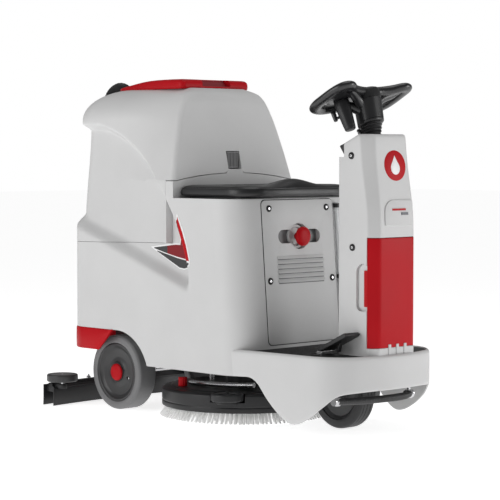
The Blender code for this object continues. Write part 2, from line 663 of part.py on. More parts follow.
column = build_column()
cut(main_body, prism("column_seat", [(x + 0.0005 * (1 if x > 0.6 else -1), y * 1.005)
                                     for x, y, z in column_ring(0.25)], 0.2410, 0.30))
cut(column, tilted(cylinder("shaft_bore", (0, 0, 0), 0.0135, 0.16), 0.150))
prism("column_front_cover", cover_outline(0.0) + cover_outline(0.0032)[::-1], 0.2700, 0.6040,
      finish="red_plastic")

CONSOLE_TILT = math.atan2(0.0275, 0.060)
CONSOLE = Vector((0.556, 0, 0.9005))
KEY_Y = -0.045


def on_console(obj, side, height=0.0):
    """Stand a piece on the sloping console top."""
    normal = Vector((-math.sin(CONSOLE_TILT), 0, math.cos(CONSOLE_TILT)))
    obj.rotation_euler = (0, -CONSOLE_TILT, 0)
    obj.location = CONSOLE + Vector((0, side, 0)) + normal * height
    return obj


key_barrel = on_console(cylinder("key_switch", (0, 0, 0), 0.0110, 0.0120, finish="steel", sides=20),
                        KEY_Y, 0.0066)
key_blade = on_console(box("key_bow", (-0.002, -0.009, 0.0), (0.002, 0.009, 0.022)), KEY_Y, 0.0066)
join(key_barrel, key_blade)
for name, side in (("brush_button", 0.056), ("suction_button", 0.082)):
    cut(column, on_console(cylinder("well_" + name, (0, 0, 0), 0.0092, 0.020, sides=16), side, -0.002))
    on_console(cylinder(name, (0, 0, 0), 0.0088, 0.0100, finish="black_plastic", sides=16), side, 0.0)

boot = turned("steering_boot", [(0.0140, 0.026), (0.0230, 0.026), (0.0265, 0.021), (0.0225, 0.016),
                                (0.0275, 0.011), (0.0235, 0.006), (0.0290, 0.0), (0.0140, 0.0)],
              (0, 0, 0), "rubber", steps=24, closed=True)
tilted(boot, 0.1285)
cut(boot, box("boot_foot", (0.500, -0.1, 0.80), (0.70, 0.1, 0.9180)))
cut(boot, prism("boot_slope", [(0.30, 0.7785), (0.70, 0.9620), (0.70, 0.80), (0.30, 0.70)], -0.1, 0.1, "XZ"))


# ---- steering wheel, in its own tilted frame -------------------------------------------------
def build_wheel():
    """A butterfly rim on a tapered hub; X forward in the rim's plane, Z along the steering axis."""
    half = [(0.042, 0.0), (0.047, 0.050), (0.064, 0.096), (0.080, 0.124), (0.064, 0.144),
            (0.020, 0.151), (-0.030, 0.150), (-0.076, 0.128), (-0.086, 0.085), (-0.070, 0.040),
            (-0.064, 0.0)]
    loop = [(x, y, 0) for x, y in half] + [(x, -y, 0) for x, y in half[-2:0:-1]]
    wheel = tube("steering_wheel", loop, 0.0145, "black_plastic", closed=True)
    hub = [rounded_plan(-0.023, 0.041, 0.030, 0.012, -0.097, 2),
           rounded_plan(-0.026, 0.044, 0.033, 0.012, -0.090, 2),
           rounded_plan(-0.008, 0.058, 0.034, 0.012, -0.012, 2),
           rounded_plan(-0.006, 0.054, 0.032, 0.012, 0.010, 2)]
    join(wheel, loft("wheel_hub", hub))
    plate = [(-0.020, -0.145), (0.050, -0.143), (0.074, -0.124), (0.062, -0.094), (0.046, -0.045)]
    plate += [(x, -y) for x, y in plate[::-1]]
    return join(wheel, prism("wheel_plate", plate, -0.008, 0.006))


wheel = build_wheel()
join(wheel, cylinder("steering_shaft", (0, 0, -0.150), 0.0110, 0.1190, sides=16))
POD = Vector((-0.010, -0.078, -0.0567))
LEVER_TURN = math.radians(36)         # the lever points to the driver's right and rear
pod = cylinder("direction_pod", POD, 0.0140, 0.0966, finish="black_plastic", radius_end=0.0245)
lever = box("direction_lever", (POD.x - 0.034, POD.y - 0.006, -0.060),
            (POD.x - 0.0208, POD.y + 0.006, -0.050), "black_plastic")
join(lever, cylinder("lever_grip", (POD.x - 0.034, POD.y, -0.046), 0.0075, 0.036, sides=12))
steering = pivot("steering_pivot", STEER_CENTRE, wheel, pod)
steering.rotation_euler = (0, -STEER_TILT, 0)
for piece in (wheel, pod):
    piece.location = piece.location + STEER_CENTRE
lever_pivot = pivot("lever_pivot", (POD.x, POD.y, 0), lever)
lever_pivot.rotation_euler = (0, 0, LEVER_TURN)
lever_pivot.parent = steering

# ---- pedal --------------------------------------------------------------------------------
pedal_side = [(0.492, 0.2580), (0.503, 0.2565), (0.606, 0.3060), (0.610, 0.3130), (0.602, 0.3190),
              (0.493, 0.2660)]
pedal = prism("accelerator_pedal", pedal_side, -0.172, -0.108, "XZ", "black_plastic")
strut = prism("pedal_strut", [(0.545, 0.2575), (0.556, 0.2575), (0.562, 0.290), (0.552, 0.285)],
              -0.146, -0.134, "XZ")
join(pedal, strut)
pivot("pedal_pivot", PEDAL_HINGE, pedal)
box("pedal_bracket", (0.484, -0.168, MAT_TOP_Z + GAP), (0.5060, -0.112, 0.2552), "steel")


# ---- wheels -------------------------------------------------------------------------------
def build_rear_wheel(name, side):
    axis = "Y" if side > 0 else "-Y"
    centre = Vector((REAR_WHEEL.x, side * REAR_WHEEL.y, REAR_WHEEL.z))
    radius, half = REAR_WHEEL.z, REAR_WHEEL_WIDTH / 2
    tyre = turned("tyre_" + name, [(0.0985, half), (radius - 0.006, half), (radius, half - 0.006),
                                   (radius, 0.006 - half), (radius - 0.006, -half), (0.0985, -half)],
                  centre, "rubber", steps=32, axis=axis, closed=True)
    rim = turned("rim_" + name, [(0.0106, 0.030), (0.034, 0.030), (0.040, 0.026), (0.088, 0.026),
                                 (0.0981, 0.034), (0.0981, -0.034), (0.088, -0.026), (0.030, -0.026),
                                 (0.0106, -0.030)],
                 centre, "dark_grey", steps=32, axis=axis, closed=True)
    cap = turned("wheel_cap_" + name, [(0, 0.0410), (0.020, 0.0405), (0.0285, 0.0370), (0.0285, 0.0304),
                                       (0, 0.0304)],
                 centre, "red_plastic", steps=24, axis=axis)
    pivot("rear_wheel_" + name, centre, tyre, rim, cap)


build_rear_wheel("right", -1)
build_rear_wheel("left", 1)


def build_drive_unit():
    """Steered fork with its kingpin, the driven wheel and the traction motor on its left arm."""
    x, z = DRIVE_WHEEL.x, DRIVE_WHEEL.z
    fork = box("drive_fork", (x - 0.050, -0.0500, 0.2140), (x + 0.050, 0.0500, 0.2190), "dark_grey")
    join(fork, cylinder("kingpin", (x, 0, 0.2245), 0.0180, 0.0190))
    for side in (-1, 1):
        near, far = sorted((side * 0.0400, side * 0.0460))
        arm = [(x - 0.028, 0.2160), (x - 0.024, z)] + arc((x, z), 0.024, 180, 360, 8) + [(x + 0.028, 0.2160)]
        join(fork, prism(f"fork_arm_{side}", arm, near, far, "XZ"))
    join(fork, cylinder("drive_axle", (x, 0, z), 0.0100, 0.086, "Y", sides=16))
    motor = turned("traction_motor", [(0, 0.084), (0.030, 0.084), (0.040, 0.078), (0.042, 0.070),
                                      (0.042, 0.0), (0, 0)],
                   (x, 0.0465, z), "black_plastic", steps=28, axis="Y")
    half = DRIVE_WHEEL_WIDTH / 2
    tyre = turned("drive_tyre", [(0.0765, half), (z - 0.008, half), (z, half - 0.010), (z, 0.010 - half),
                                 (z - 0.008, -half), (0.0765, -half)], DRIVE_WHEEL, "rubber",
                  steps=32, axis="Y", closed=True)
    hub = turned("drive_hub", [(0.0104, 0.036), (0.026, 0.036), (0.032, 0.020), (0.066, 0.020),
                               (0.0761, 0.030), (0.0761, -0.030), (0.066, -0.020), (0.032, -0.020),
                               (0.026, -0.036), (0.0104, -0.036)],
                 DRIVE_WHEEL, "dark_grey", steps=24, axis="Y", closed=True)
    fork_pivot = pivot("fork_pivot", (x, 0, 0.2190), fork, motor)
    wheel_pivot = pivot("drive_wheel", DRIVE_WHEEL, tyre, hub)
    wheel_pivot.parent = fork_pivot
    wheel_pivot.location = DRIVE_WHEEL - Vector((x, 0, 0.2190))


build_drive_unit()


# ---- brush deck ---------------------------------------------------------------------------
ROLLER_PROFILE = [(0.0065, 0.0125), (0.048, 0.0125), (0.0525, 0.0085), (0.0525, -0.0085),
                  (0.048, -0.0125), (0.0065, -0.0125)]


def build_deck():
    centre = Vector((BRUSH_X, 0, 0))
    cover = turned("brush_cover", [(0.028, 0.100), (0.262, 0.100), (COVER_RADIUS, 0.092),
                                   (COVER_RADIUS, 0.034),
                                   (0.262, 0.034), (0.262, 0.090), (0.028, 0.090)], centre, "dark_grey",
                   steps=44, closed=True)
    cut(cover, cylinder("roller_notch", (ROLLER.x, ROLLER.y, 0.1000), 0.0570, 0.0630, sides=32))
    join(cover, cylinder("roller_shelf", (ROLLER.x, ROLLER.y, 0.0703), 0.0350, 0.0086, sides=20))
    join(cover, cylinder("roller_pin", (ROLLER.x, ROLLER.y, 0.0860), 0.0060, 0.0310, sides=12))
    motor = turned("brush_motor", [(0, 0.2150), (0.036, 0.2150), (0.046, 0.2050), (0.050, 0.1500),
                                   (0.056, 0.1400),
                                   (0.056, 0.1004), (0.0120, 0.1004), (0.0120, 0.0510), (0, 0.0510)],
                   centre, "black_plastic", steps=28)
    knob = cylinder("deck_knob", (-0.095, -0.198, 0.1157), 0.0145, 0.0306, finish="red_plastic", sides=16)
    bar = tube("deck_bar", [(-0.110, -0.150, 0.1090), (-0.03, -0.157, 0.1110), (0.08, -0.160, 0.1165),
                            (0.190, -0.150, 0.1240)], 0.0080, "steel", spacing=0.04)
    rod = cylinder("lift_rod", (-0.170, 0, 0.1502), 0.0080, 0.0996, finish="steel", sides=16)
    roller = turned("deck_roller", ROLLER_PROFILE, ROLLER, "black_plastic", steps=24, closed=True)
    disc = turned("brush_disc", [(0.0126, 0.0645), (0.243, 0.0645), (0.248, 0.0600), (0.248, 0.0504),
                                 (0.0126, 0.0504)],
                  centre, "black_plastic", steps=32, closed=True)
    bristles = turned("brush_bristles", [(0.150, 0.0500), (0.246, 0.0500), (BRUSH_RADIUS, 0.0), (0.125, 0.0)],
                      centre, "bristle", steps=40, closed=True)
    deck = pivot("brush_deck", centre, cover, motor, bar, rod)
    for name, location, pieces in (("brush", centre, (disc, bristles)), ("roller_pivot", ROLLER, (roller,)),
                                   ("deck_knob_pivot", (-0.095, -0.198, 0.1004), (knob,))):
        child = pivot(name, location, *pieces)
        child.parent = deck
        child.location = Vector(location) - centre


build_deck()


# ---- squeegee -----------------------------------------------------------------------------
SQUEEGEE_X = -0.6475
SQUEEGEE_BOW = 0.025                # the tips stand this far forward of the middle


def squeegee_strip(half_length, rear, front):
    """Plan outline of a bowed strip between two offsets from the squeegee's middle line."""
    steps = 8
    rows = [half_length * (2 * i / steps - 1) for i in range(steps + 1)]
    line = [(SQUEEGEE_X + SQUEEGEE_BOW * (y / 0.335) ** 2, y) for y in rows]
    return [(x + front, y) for x, y in line] + [(x + rear, y) for x, y in line[::-1]]


def squeegee_roller_place(side):
    return Vector((-0.586, side * 0.310, 0.0955))


def build_squeegee():
    body = prism("squeegee_body", squeegee_strip(0.335, -0.022, 0.022), 0.046, 0.076, finish="black_plastic")
    cut(body, cylinder("suction_mouth", (NOZZLE_X, 0, 0.06), 0.0180, 0.06))
    rollers = []
    for side, name in ((-1, "right"), (1, "left")):
        place = squeegee_roller_place(side)
        join(body, box("roller_arm_" + name, (-0.618, place.y - 0.013, 0.056),
                       (-0.574, place.y + 0.013, 0.0720)))
        join(body, cylinder("roller_post_" + name, (place.x, place.y, 0.087), 0.0060, 0.0440, sides=12))
        rollers.append(turned("squeegee_roller_" + name, ROLLER_PROFILE, place, "dark_grey",
                              steps=24, closed=True))
    rear = prism("squeegee_blade_rear", squeegee_strip(0.345, -0.0266, -0.0226), 0.0, 0.070, finish="rubber")
    front = prism("squeegee_blade_front", squeegee_strip(0.340, 0.0226, 0.0256), 0.0, 0.0555, finish="rubber")
    nozzle = turned("suction_nozzle", [(0.0182, 0.1360), (0.0220, 0.1360), (0.0220, 0.1090), (0.0300, 0.1088),
                                       (0.0300, 0.1046), (0.0238, 0.1044), (0.0238, 0.0820), (0.0210, 0.0764),
                                       (0.0182, 0.0764)], (NOZZLE_X, 0, 0), "black_plastic",
                    steps=20, closed=True)
    arm = prism("squeegee_arm", arc((-0.430, 0.150), 0.0145, 60, -110, 6)
                + [(-0.560, 0.0885), (-0.625, 0.0885), (-0.625, 0.1030), (-0.560, 0.1090)],
                -0.0240, 0.0240, "XZ", "steel")
    cut(arm, box("arm_gap", (-0.590, -0.0128, 0.0), (-0.38, 0.0128, 0.20)))
    join(arm, cylinder("arm_collar", (NOZZLE_X, 0, 0.0962), 0.0340, 0.0140, sides=28))
    join(arm, cylinder("arm_pin", SQUEEGEE_PIVOT, 0.0060, 0.044, "Y", sides=16))
    cut(arm, cylinder("collar_bore", (NOZZLE_X, 0, 0.10), 0.0244, 0.08, sides=28))
    arm_pivot = pivot("squeegee_lift", SQUEEGEE_PIVOT, arm)
    swing = pivot("squeegee_swing", (NOZZLE_X, 0, 0.1000), body, rear, front, nozzle)
    swing.parent = arm_pivot
    swing.location = Vector((NOZZLE_X, 0, 0.1000)) - SQUEEGEE_PIVOT
    for roller, side in zip(rollers, (-1, 1)):
        place = squeegee_roller_place(side)
        wheel_pivot = pivot("end_" + roller.name, place, roller)
        wheel_pivot.parent = swing
        wheel_pivot.location = place - Vector((NOZZLE_X, 0, 0.1000))


build_squeegee()


# ---- smooth shading of the round pieces -----------------------------------------------------
for obj in PARTS.objects:
    if obj.type == "MESH":
        obj.data.shade_smooth()
        obj.data.set_sharp_from_angle(angle=math.radians(35))
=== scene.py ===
"""Looks of the ride-on floor scrubber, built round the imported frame."""

import math
import random

import bmesh
import bpy
from mathutils import Matrix, Vector


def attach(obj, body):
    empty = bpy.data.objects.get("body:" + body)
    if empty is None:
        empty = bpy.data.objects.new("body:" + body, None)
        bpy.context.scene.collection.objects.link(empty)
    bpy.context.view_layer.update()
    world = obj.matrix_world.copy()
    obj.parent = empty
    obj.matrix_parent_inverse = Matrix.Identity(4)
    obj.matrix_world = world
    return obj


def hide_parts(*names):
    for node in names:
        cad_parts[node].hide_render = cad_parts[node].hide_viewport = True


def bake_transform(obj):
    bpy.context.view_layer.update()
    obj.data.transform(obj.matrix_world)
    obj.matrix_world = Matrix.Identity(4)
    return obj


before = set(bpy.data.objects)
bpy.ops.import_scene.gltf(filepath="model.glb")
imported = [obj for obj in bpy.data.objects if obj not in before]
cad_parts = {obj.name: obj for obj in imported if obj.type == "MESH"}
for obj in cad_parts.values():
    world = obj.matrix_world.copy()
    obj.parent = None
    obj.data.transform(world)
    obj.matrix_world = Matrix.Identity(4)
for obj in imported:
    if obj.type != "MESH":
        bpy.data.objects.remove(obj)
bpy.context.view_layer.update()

# ---- the design's driving dimensions, as the frame has them -----------------------------------
BODY_REAR, BODY_FRONT, HALF_WIDTH = -0.605, 0.675, 0.275
REAR_CORNER = 0.09
SILL_Z, TAIL_Z, FLOOR_Z, DECK_Z = 0.165, 0.272, 0.249, 0.262
SPLIT_Z, SPLIT_X = 0.564, -0.091
WALL_TOP_Z, BACKREST_X = 0.77, -0.055
SEAT_BOX_Z = 0.716
TANK_TOP_Z, LIP_Z = 1.075, 0.97
RECESS_DEPTH = 0.03
BRUSH = Vector((-0.015, 0, 0))
REAR_WHEEL = Vector((-0.385, 0.204, 0.125))
DRIVE_WHEEL = Vector((0.44, 0.0, 0.105))
STEER_CENTRE = Vector((0.505, 0.0, 1.03))
STEER_TILT = math.radians(25)
CONSOLE = Vector((0.556, 0, 0.9005))
CONSOLE_TILT = math.atan2(0.0275, 0.06)
HINGE = Vector((-0.613, 0.0, 0.561))
NOZZLE_X = -0.64
HOSE_RADIUS = 0.024
KNOB_Z = 0.595
ROLLER = Vector((0.14, -0.22, 0.0875))
GUARD_ROLLER = Vector((-0.586, 0.31, 0.0955))      # the squeegee's left one
COLUMN_SIDE = 0.103
KEY_Y = -0.045
SEAM = 0.0012                       # open joint between mouldings

TURN = {"Z": Matrix.Identity(4), "X": Matrix.Rotation(math.pi / 2, 4, "Y"),
        "Y": Matrix.Rotation(-math.pi / 2, 4, "X"), "-Y": Matrix.Rotation(math.pi / 2, 4, "X")}


# ---- materials --------------------------------------------------------------------------------
def finish(name, colour, roughness, metallic=0.0, tint=0.05, cloud=7.0, grain=700.0, bump=0.12, depth=0.0004,
           stretch=(1, 1, 1), coat=0.0, cells=False, specular=0.5, clear=0.0, glow=0.0):
    """Colour that drifts a little over the part, with grain in its bump and roughness."""
    made = bpy.data.materials.new(name)
    made.use_nodes = True
    nodes, links = made.node_tree.nodes, made.node_tree.links
    shader = nodes["Principled BSDF"]
    coordinates = nodes.new("ShaderNodeTexCoord")
    mapping = nodes.new("ShaderNodeMapping")
    mapping.inputs["Scale"].default_value = stretch
    links.new(coordinates.outputs["Object"], mapping.inputs["Vector"])

    clouds = nodes.new("ShaderNodeTexNoise")
    clouds.inputs["Scale"].default_value = cloud
    clouds.inputs["Detail"].default_value = 4.0
    links.new(mapping.outputs["Vector"], clouds.inputs["Vector"])
    if cells:
        fine = nodes.new("ShaderNodeTexVoronoi")
        fine.feature = "DISTANCE_TO_EDGE"
        height = fine.outputs["Distance"]
    else:
        fine = nodes.new("ShaderNodeTexNoise")
        fine.inputs["Detail"].default_value = 2.0
        height = fine.outputs["Fac"]
    fine.inputs["Scale"].default_value = grain
    links.new(mapping.outputs["Vector"], fine.inputs["Vector"])

    shades = nodes.new("ShaderNodeValToRGB")
    shades.color_ramp.elements[0].position = 0.3
    shades.color_ramp.elements[1].position = 0.7
    shades.color_ramp.elements[0].color = (*[c * (1 - tint) for c in colour], 1)
    shades.color_ramp.elements[1].color = (*[min(1.0, c * (1 + tint)) for c in colour], 1)
    links.new(clouds.outputs["Fac"], shades.inputs["Fac"])
    links.new(shades.outputs["Color"], shader.inputs["Base Color"])

    rough = nodes.new("ShaderNodeMapRange")
    rough.inputs["To Min"].default_value = max(0.02, roughness - 0.07)
    rough.inputs["To Max"].default_value = min(1.0, roughness + 0.07)
    links.new(clouds.outputs["Fac"], rough.inputs["Value"])
    links.new(rough.outputs["Result"], shader.inputs["Roughness"])

    relief = nodes.new("ShaderNodeBump")
    relief.inputs["Strength"].default_value = bump
    relief.inputs["Distance"].default_value = depth
    links.new(height, relief.inputs["Height"])
    links.new(relief.outputs["Normal"], shader.inputs["Normal"])
    shader.inputs["Metallic"].default_value = metallic
    shader.inputs["Specular IOR Level"].default_value = specular
    shader.inputs["Coat Weight"].default_value = coat
    shader.inputs["Coat Roughness"].default_value = 0.15
    shader.inputs["Transmission Weight"].default_value = clear
    shader.inputs["Emission Color"].default_value = (1, 1, 1, 1)
    shader.inputs["Emission Strength"].default_value = glow
    return made


LOOKS = {                           # look: (material, the record's slot)
    "grey": (finish("grey_moulding", (0.57, 0.57, 0.57), 0.44, tint=0.02, grain=420, bump=0.08,
                    specular=0.4), "body_grey"),
    "panel": (finish("grey_panel", (0.56, 0.56, 0.56), 0.48, tint=0.02, grain=900, bump=0.12,
                     specular=0.4), "body_grey"),
    "red": (finish("red_moulding", (0.43, 0.004, 0.009), 0.42, tint=0.04, grain=500, bump=0.05,
                   specular=0.12), "red_plastic"),
    # deep_red: the badge's own darker red print; as the lining of the lid's finger scoop it is painted shade.
    "deep_red": (finish("red_print_and_recess_shade", (0.2, 0.003, 0.008), 0.45, tint=0.05, grain=500, bump=0.05,
                        specular=0.3), "red_plastic"),
    "black": (finish("black_moulding", (0.012, 0.012, 0.013), 0.38, tint=0.15, grain=1100, bump=0.22,
                     specular=0.4), "black_plastic"),
    "soft_black": (finish("black_soft_grip", (0.008, 0.008, 0.009), 0.29, tint=0.12, grain=800, bump=0.2,
                          specular=0.6), "black_plastic"),
    "dark": (finish("dark_grey_moulding", (0.034, 0.034, 0.035), 0.36, tint=0.1, grain=900, bump=0.18,
                    specular=0.45), "dark_grey"),
    # latch: the latch plate's own mid grey; on the louvre slots and the knob pocket floor it is painted shade
    # in the hollows.
    "latch": (finish("latch_grey_and_recess_shade", (0.13, 0.13, 0.132), 0.42, tint=0.1, grain=900, bump=0.2),
              "dark_grey"),
    # seam: near-black painted shade, laid in gaps and pockets where only shade falls.
    "seam": (finish("seam_shadow", (0.02, 0.02, 0.021), 0.7, tint=0.1, grain=600, bump=0.1,
                    specular=0.2), "dark_grey"),
    "frame": (finish("frame_paint", (0.024, 0.024, 0.025), 0.35, tint=0.1, grain=600, bump=0.15, coat=0.2),
              "dark_grey"),
    "slate": (finish("slate_film", (0.04, 0.045, 0.058), 0.35, tint=0.05, grain=900, bump=0.05),
              "dark_grey"),
    "rubber": (finish("black_rubber", (0.014, 0.014, 0.015), 0.48, tint=0.2, grain=500, bump=0.25),
               "rubber"),
    "tread": (finish("grey_tread", (0.16, 0.16, 0.163), 0.52, tint=0.1, grain=380, bump=0.3), "rubber"),
    "mat": (finish("footboard_rubber", (0.024, 0.024, 0.025), 0.62, tint=0.2, grain=900, bump=0.4),
            "rubber"),
    "steel": (finish("brushed_steel", (0.6, 0.6, 0.61), 0.26, metallic=1.0, tint=0.08, grain=240,
                     bump=0.08, stretch=(1, 1, 9)), "steel"),
    "bristle": (finish("nylon_bristle", (0.95, 0.95, 0.94), 0.45, tint=0.06, cloud=60, grain=400, bump=0.2,
                       stretch=(1, 1, 0.05)), "bristle"),
    "clear": (finish("clear_tube", (0.9, 0.92, 0.93), 0.08, tint=0.01, grain=200, bump=0.02, clear=0.55),
              "clear"),
    "poly": (finish("translucent_tank", (0.78, 0.8, 0.79), 0.45, tint=0.04, grain=300, bump=0.2,
                    clear=0.25),
             "clear"),
    "vinyl": (finish("seat_vinyl", (0.009, 0.009, 0.01), 0.36, tint=0.15, cloud=14, grain=420, bump=0.3,
                     depth=0.0005, cells=True), "seat_vinyl"),
    "white": (finish("white_film", (0.8, 0.8, 0.8), 0.35, tint=0.02, grain=900, bump=0.04),
              "body_grey"),
    "lens": (finish("display_lens", (0.012, 0.016, 0.02), 0.1, tint=0.1, grain=300, bump=0.02, coat=0.6),
             "black_plastic"),
}


# ---- shapes: each returns a function that adds closed bodies to a mesh --------------------------
def skin(rings, closed_rings=True, caps=True, loop=False):
    """Quads over rings of equal point counts; loop joins the last ring to the first."""
    def build(bm):
        rows = [[bm.verts.new(point) for point in ring] for ring in rings]
        count = len(rings[0])
        pairs = list(zip(rows, rows[1:])) + ([(rows[-1], rows[0])] if loop else [])
        for lower, upper in pairs:
            for i in range(count if closed_rings else count - 1):
                j = (i + 1) % count
                bm.faces.new((lower[i], lower[j], upper[j], upper[i]))
        if caps and not loop:
            bm.faces.new(rows[0])
            bm.faces.new(rows[-1][::-1])
    return build


def lathe(profile, centre, axis="Z", steps=56, closed=False):
    """(radius, height) pairs turned on an axis."""
    place = Matrix.Translation(Vector(centre)) @ (TURN[axis] if isinstance(axis, str) else axis)

    def build(bm):
        rows = []
        for radius, height in profile:
            if radius < 0.00001:
                rows.append([bm.verts.new(place @ Vector((0, 0, height)))])
                continue
            angles = [2 * math.pi * i / steps for i in range(steps)]
            rows.append([bm.verts.new(place @ Vector((radius * math.cos(a), radius * math.sin(a), height)))
                         for a in angles])
        pairs = list(zip(rows, rows[1:])) + ([(rows[-1], rows[0])] if closed else [])
        for first, second in pairs:
            for i in range(steps):
                j = (i + 1) % steps
                if len(first) == 1 and len(second) == 1:
                    continue
                if len(first) == 1:
                    bm.faces.new((first[0], second[j], second[i]))
                elif len(second) == 1:
                    bm.faces.new((first[i], first[j], second[0]))
                else:
                    bm.faces.new((first[i], first[j], second[j], second[i]))
    return build


def rounded_profile(points, radius, steps=4):
    """A profile whose inner corners are rounded off."""
    points = [Vector(p) for p in points]
    made = [points[0]]
    for before, corner, after in zip(points, points[1:], points[2:]):
        back, ahead = before - corner, after - corner
        reach = min(radius, back.length * 0.45, ahead.length * 0.45)
        start, end = corner + back.normalized() * reach, corner + ahead.normalized() * reach
        for i in range(steps + 1):
            t = i / steps
            made.append(start * (1 - t) ** 2 + corner * 2 * t * (1 - t) + end * t * t)
    return made + [points[-1]]


def block(low, high):
    low, high = Vector(low), Vector(high)

    def build(bm):
        made = bmesh.ops.create_cube(bm, size=1.0)
        bmesh.ops.scale(bm, vec=high - low, verts=made["verts"])
        bmesh.ops.translate(bm, vec=(low + high) / 2, verts=made["verts"])
    return build


def slab(outline, low, high, plane="XY"):
    """A flat outline with its thickness from low to high along the third axis."""
    place = {"XY": lambda a, b, c: (a, b, c), "XZ": lambda a, b, c: (a, c, b),
             "YZ": lambda a, b, c: (c, a, b)}[plane]

    def build(bm):
        rows = [[bm.verts.new(place(a, b, c)) for a, b in outline] for c in (low, high)]
        bm.faces.new(rows[0])
        bm.faces.new(rows[1][::-1])
        for i in range(len(outline)):
            j = (i + 1) % len(outline)
            bm.faces.new((rows[0][i], rows[0][j], rows[1][j], rows[1][i]))
    return build


def sweep(points, radius, sides=18, closed=False):
    """A round bar along the points; radius is a number or a function of the share of the way."""
    points = [Vector(p) for p in points]
    count = len(points)

    def build(bm):
        rows, normal = [], None
        for i, point in enumerate(points):
            before = points[(i - 1) % count] if closed or i else points[0]
            after = points[(i + 1) % count] if closed or i < count - 1 else points[-1]
            along = (after - before).normalized()
            if normal is None:
                normal = along.orthogonal().normalized()
            normal = (normal - along * normal.dot(along)).normalized()
            across = along.cross(normal)
            size = radius(i / (count - 1)) if callable(radius) else radius
            rows.append([bm.verts.new(point + (normal * math.cos(a) + across * math.sin(a)) * size)
                         for a in (2 * math.pi * k / sides for k in range(sides))])
        if closed:
            best = min(range(sides), key=lambda k: (rows[-1][k].co - rows[0][0].co).length)
            rows.append(rows[0][-best:] + rows[0][:-best] if best else rows[0])
        for first, second in zip(rows, rows[1:]):
            for i in range(sides):
                j = (i + 1) % sides
                bm.faces.new((first[i], first[j], second[j], second[i]))
        if not closed:
            bm.faces.new(rows[0][::-1])
            bm.faces.new(rows[-1])
    return build


def place(matrix, *parts):
    def build(bm):
        before = len(bm.verts)
        for part in parts:
            part(bm)
        bm.verts.ensure_lookup_table()
        bmesh.ops.transform(bm, matrix=matrix, verts=bm.verts[before:])
    return build


def arc(centre, radius, start, end, steps):
    """Points on a circle's arc, angles in degrees."""
    angles = [math.radians(start + (end - start) * i / steps) for i in range(steps + 1)]
    return [(centre[0] + radius * math.cos(a), centre[1] + radius * math.sin(a)) for a in angles]


def rounded_rectangle(a0, a1, b0, b1, radius, steps=6):
    outline = arc((a1 - radius, b1 - radius), radius, 0, 90, steps)
    outline += arc((a0 + radius, b1 - radius), radius, 90, 180, steps)
    outline += arc((a0 + radius, b0 + radius), radius, 180, 270, steps)
    return outline + arc((a1 - radius, b0 + radius), radius, 270, 360, steps)


def smooth_route(points, spacing, closed=False):
    """Points at an even spacing on a Catmull-Rom curve through the given points."""
    route = [Vector(p) for p in points]
    if closed:
        route = [route[-1]] + route + route[:2]
    else:
        route = [2 * route[0] - route[1]] + route + [2 * route[-1] - route[-2]]
    dense = []
    for a, b, c, d in zip(route, route[1:], route[2:], route[3:]):
        for step in range(24):
            t = step / 24
            dense.append(0.5 * (2 * b + (c - a) * t + (2 * a - 5 * b + 4 * c - d) * t * t
                                + (3 * b - a - 3 * c + d) * t ** 3))
    dense.append(route[-2])
    length = sum((q - p).length for p, q in zip(dense, dense[1:]))
    wanted = max(2, round(length / spacing))
    even, walked, target = [dense[0]], 0.0, length / wanted
    for p, q in zip(dense, dense[1:]):
        step = (q - p).length
        while walked + step >= target * len(even) and len(even) < wanted:
            even.append(p.lerp(q, (target * len(even) - walked) / step))
        walked += step
    return even if closed else even + [dense[-1]]


# ---- making pieces ----------------------------------------------------------------------------
def raw_object(name, parts):
    bm = bmesh.new()
    for part in parts:
        part(bm)
    bmesh.ops.recalc_face_normals(bm, faces=bm.faces)
    mesh = bpy.data.meshes.new(name)
    bm.to_mesh(mesh)
    bm.free()
    obj = bpy.data.objects.new(name, mesh)
    bpy.context.scene.collection.objects.link(obj)
    return obj


def settle(obj):
    """Make the modifiers' result the object's own mesh."""
    evaluated = obj.evaluated_get(bpy.context.evaluated_depsgraph_get())
    mesh = bpy.data.meshes.new_from_object(evaluated)
    obj.modifiers.clear()
    obj.data = mesh


def add(name, look, body, *parts, stands_for=(), cuts=(), common=(), joins=(), bevel=0.0, segments=3,
        subdivide=0, angle=35, ride=True):
    """A finished piece: its bodies, Boolean helpers, rounded edges, material and body."""
    obj = raw_object(name, parts)
    helpers = []
    for operation, shapes in (("UNION", joins), ("DIFFERENCE", cuts), ("INTERSECT", common)):
        for shape in shapes:
            helper = raw_object("helper", [shape])
            modifier = obj.modifiers.new("boolean", "BOOLEAN")
            modifier.operation, modifier.object = operation, helper
            helpers.append(helper)
    if bevel:
        modifier = obj.modifiers.new("edges", "BEVEL")
        modifier.width, modifier.segments = bevel, segments
        modifier.limit_method, modifier.angle_limit = "ANGLE", math.radians(40)
    if subdivide:
        modifier = obj.modifiers.new("round", "SUBSURF")
        modifier.levels = modifier.render_levels = subdivide
    settle(obj)
    for helper in helpers:
        bpy.data.objects.remove(helper)
    material, slot = LOOKS[look]
    obj.data.materials.clear()
    obj.data.materials.append(material)
    obj.data.shade_smooth()
    obj.data.set_sharp_from_angle(angle=math.radians(angle))
    if stands_for:
        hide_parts(*stands_for)
    if ride:
        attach(obj, body)
    return obj


# ---- the skin of body and tank ----------------------------------------------------------------
SHOULDER_FRONT = [(0.77, 0.275), (0.9, 0.24), (1.0, 0.204), (1.055, 0.166), (1.075, 0.12)]
BACKREST_LEAN = [(0.77, -0.055), (1.0, -0.091), (1.055, -0.105), (1.075, -0.135)]
RECESS_ARC = (-0.46, 0.46, 0.48, 0.5)
RECESS_FOOT = (0.553, -0.4, -0.337)


def smooth(value):
    t = min(1.0, max(0.0, value))
    return t * t * (3 - 2 * t)


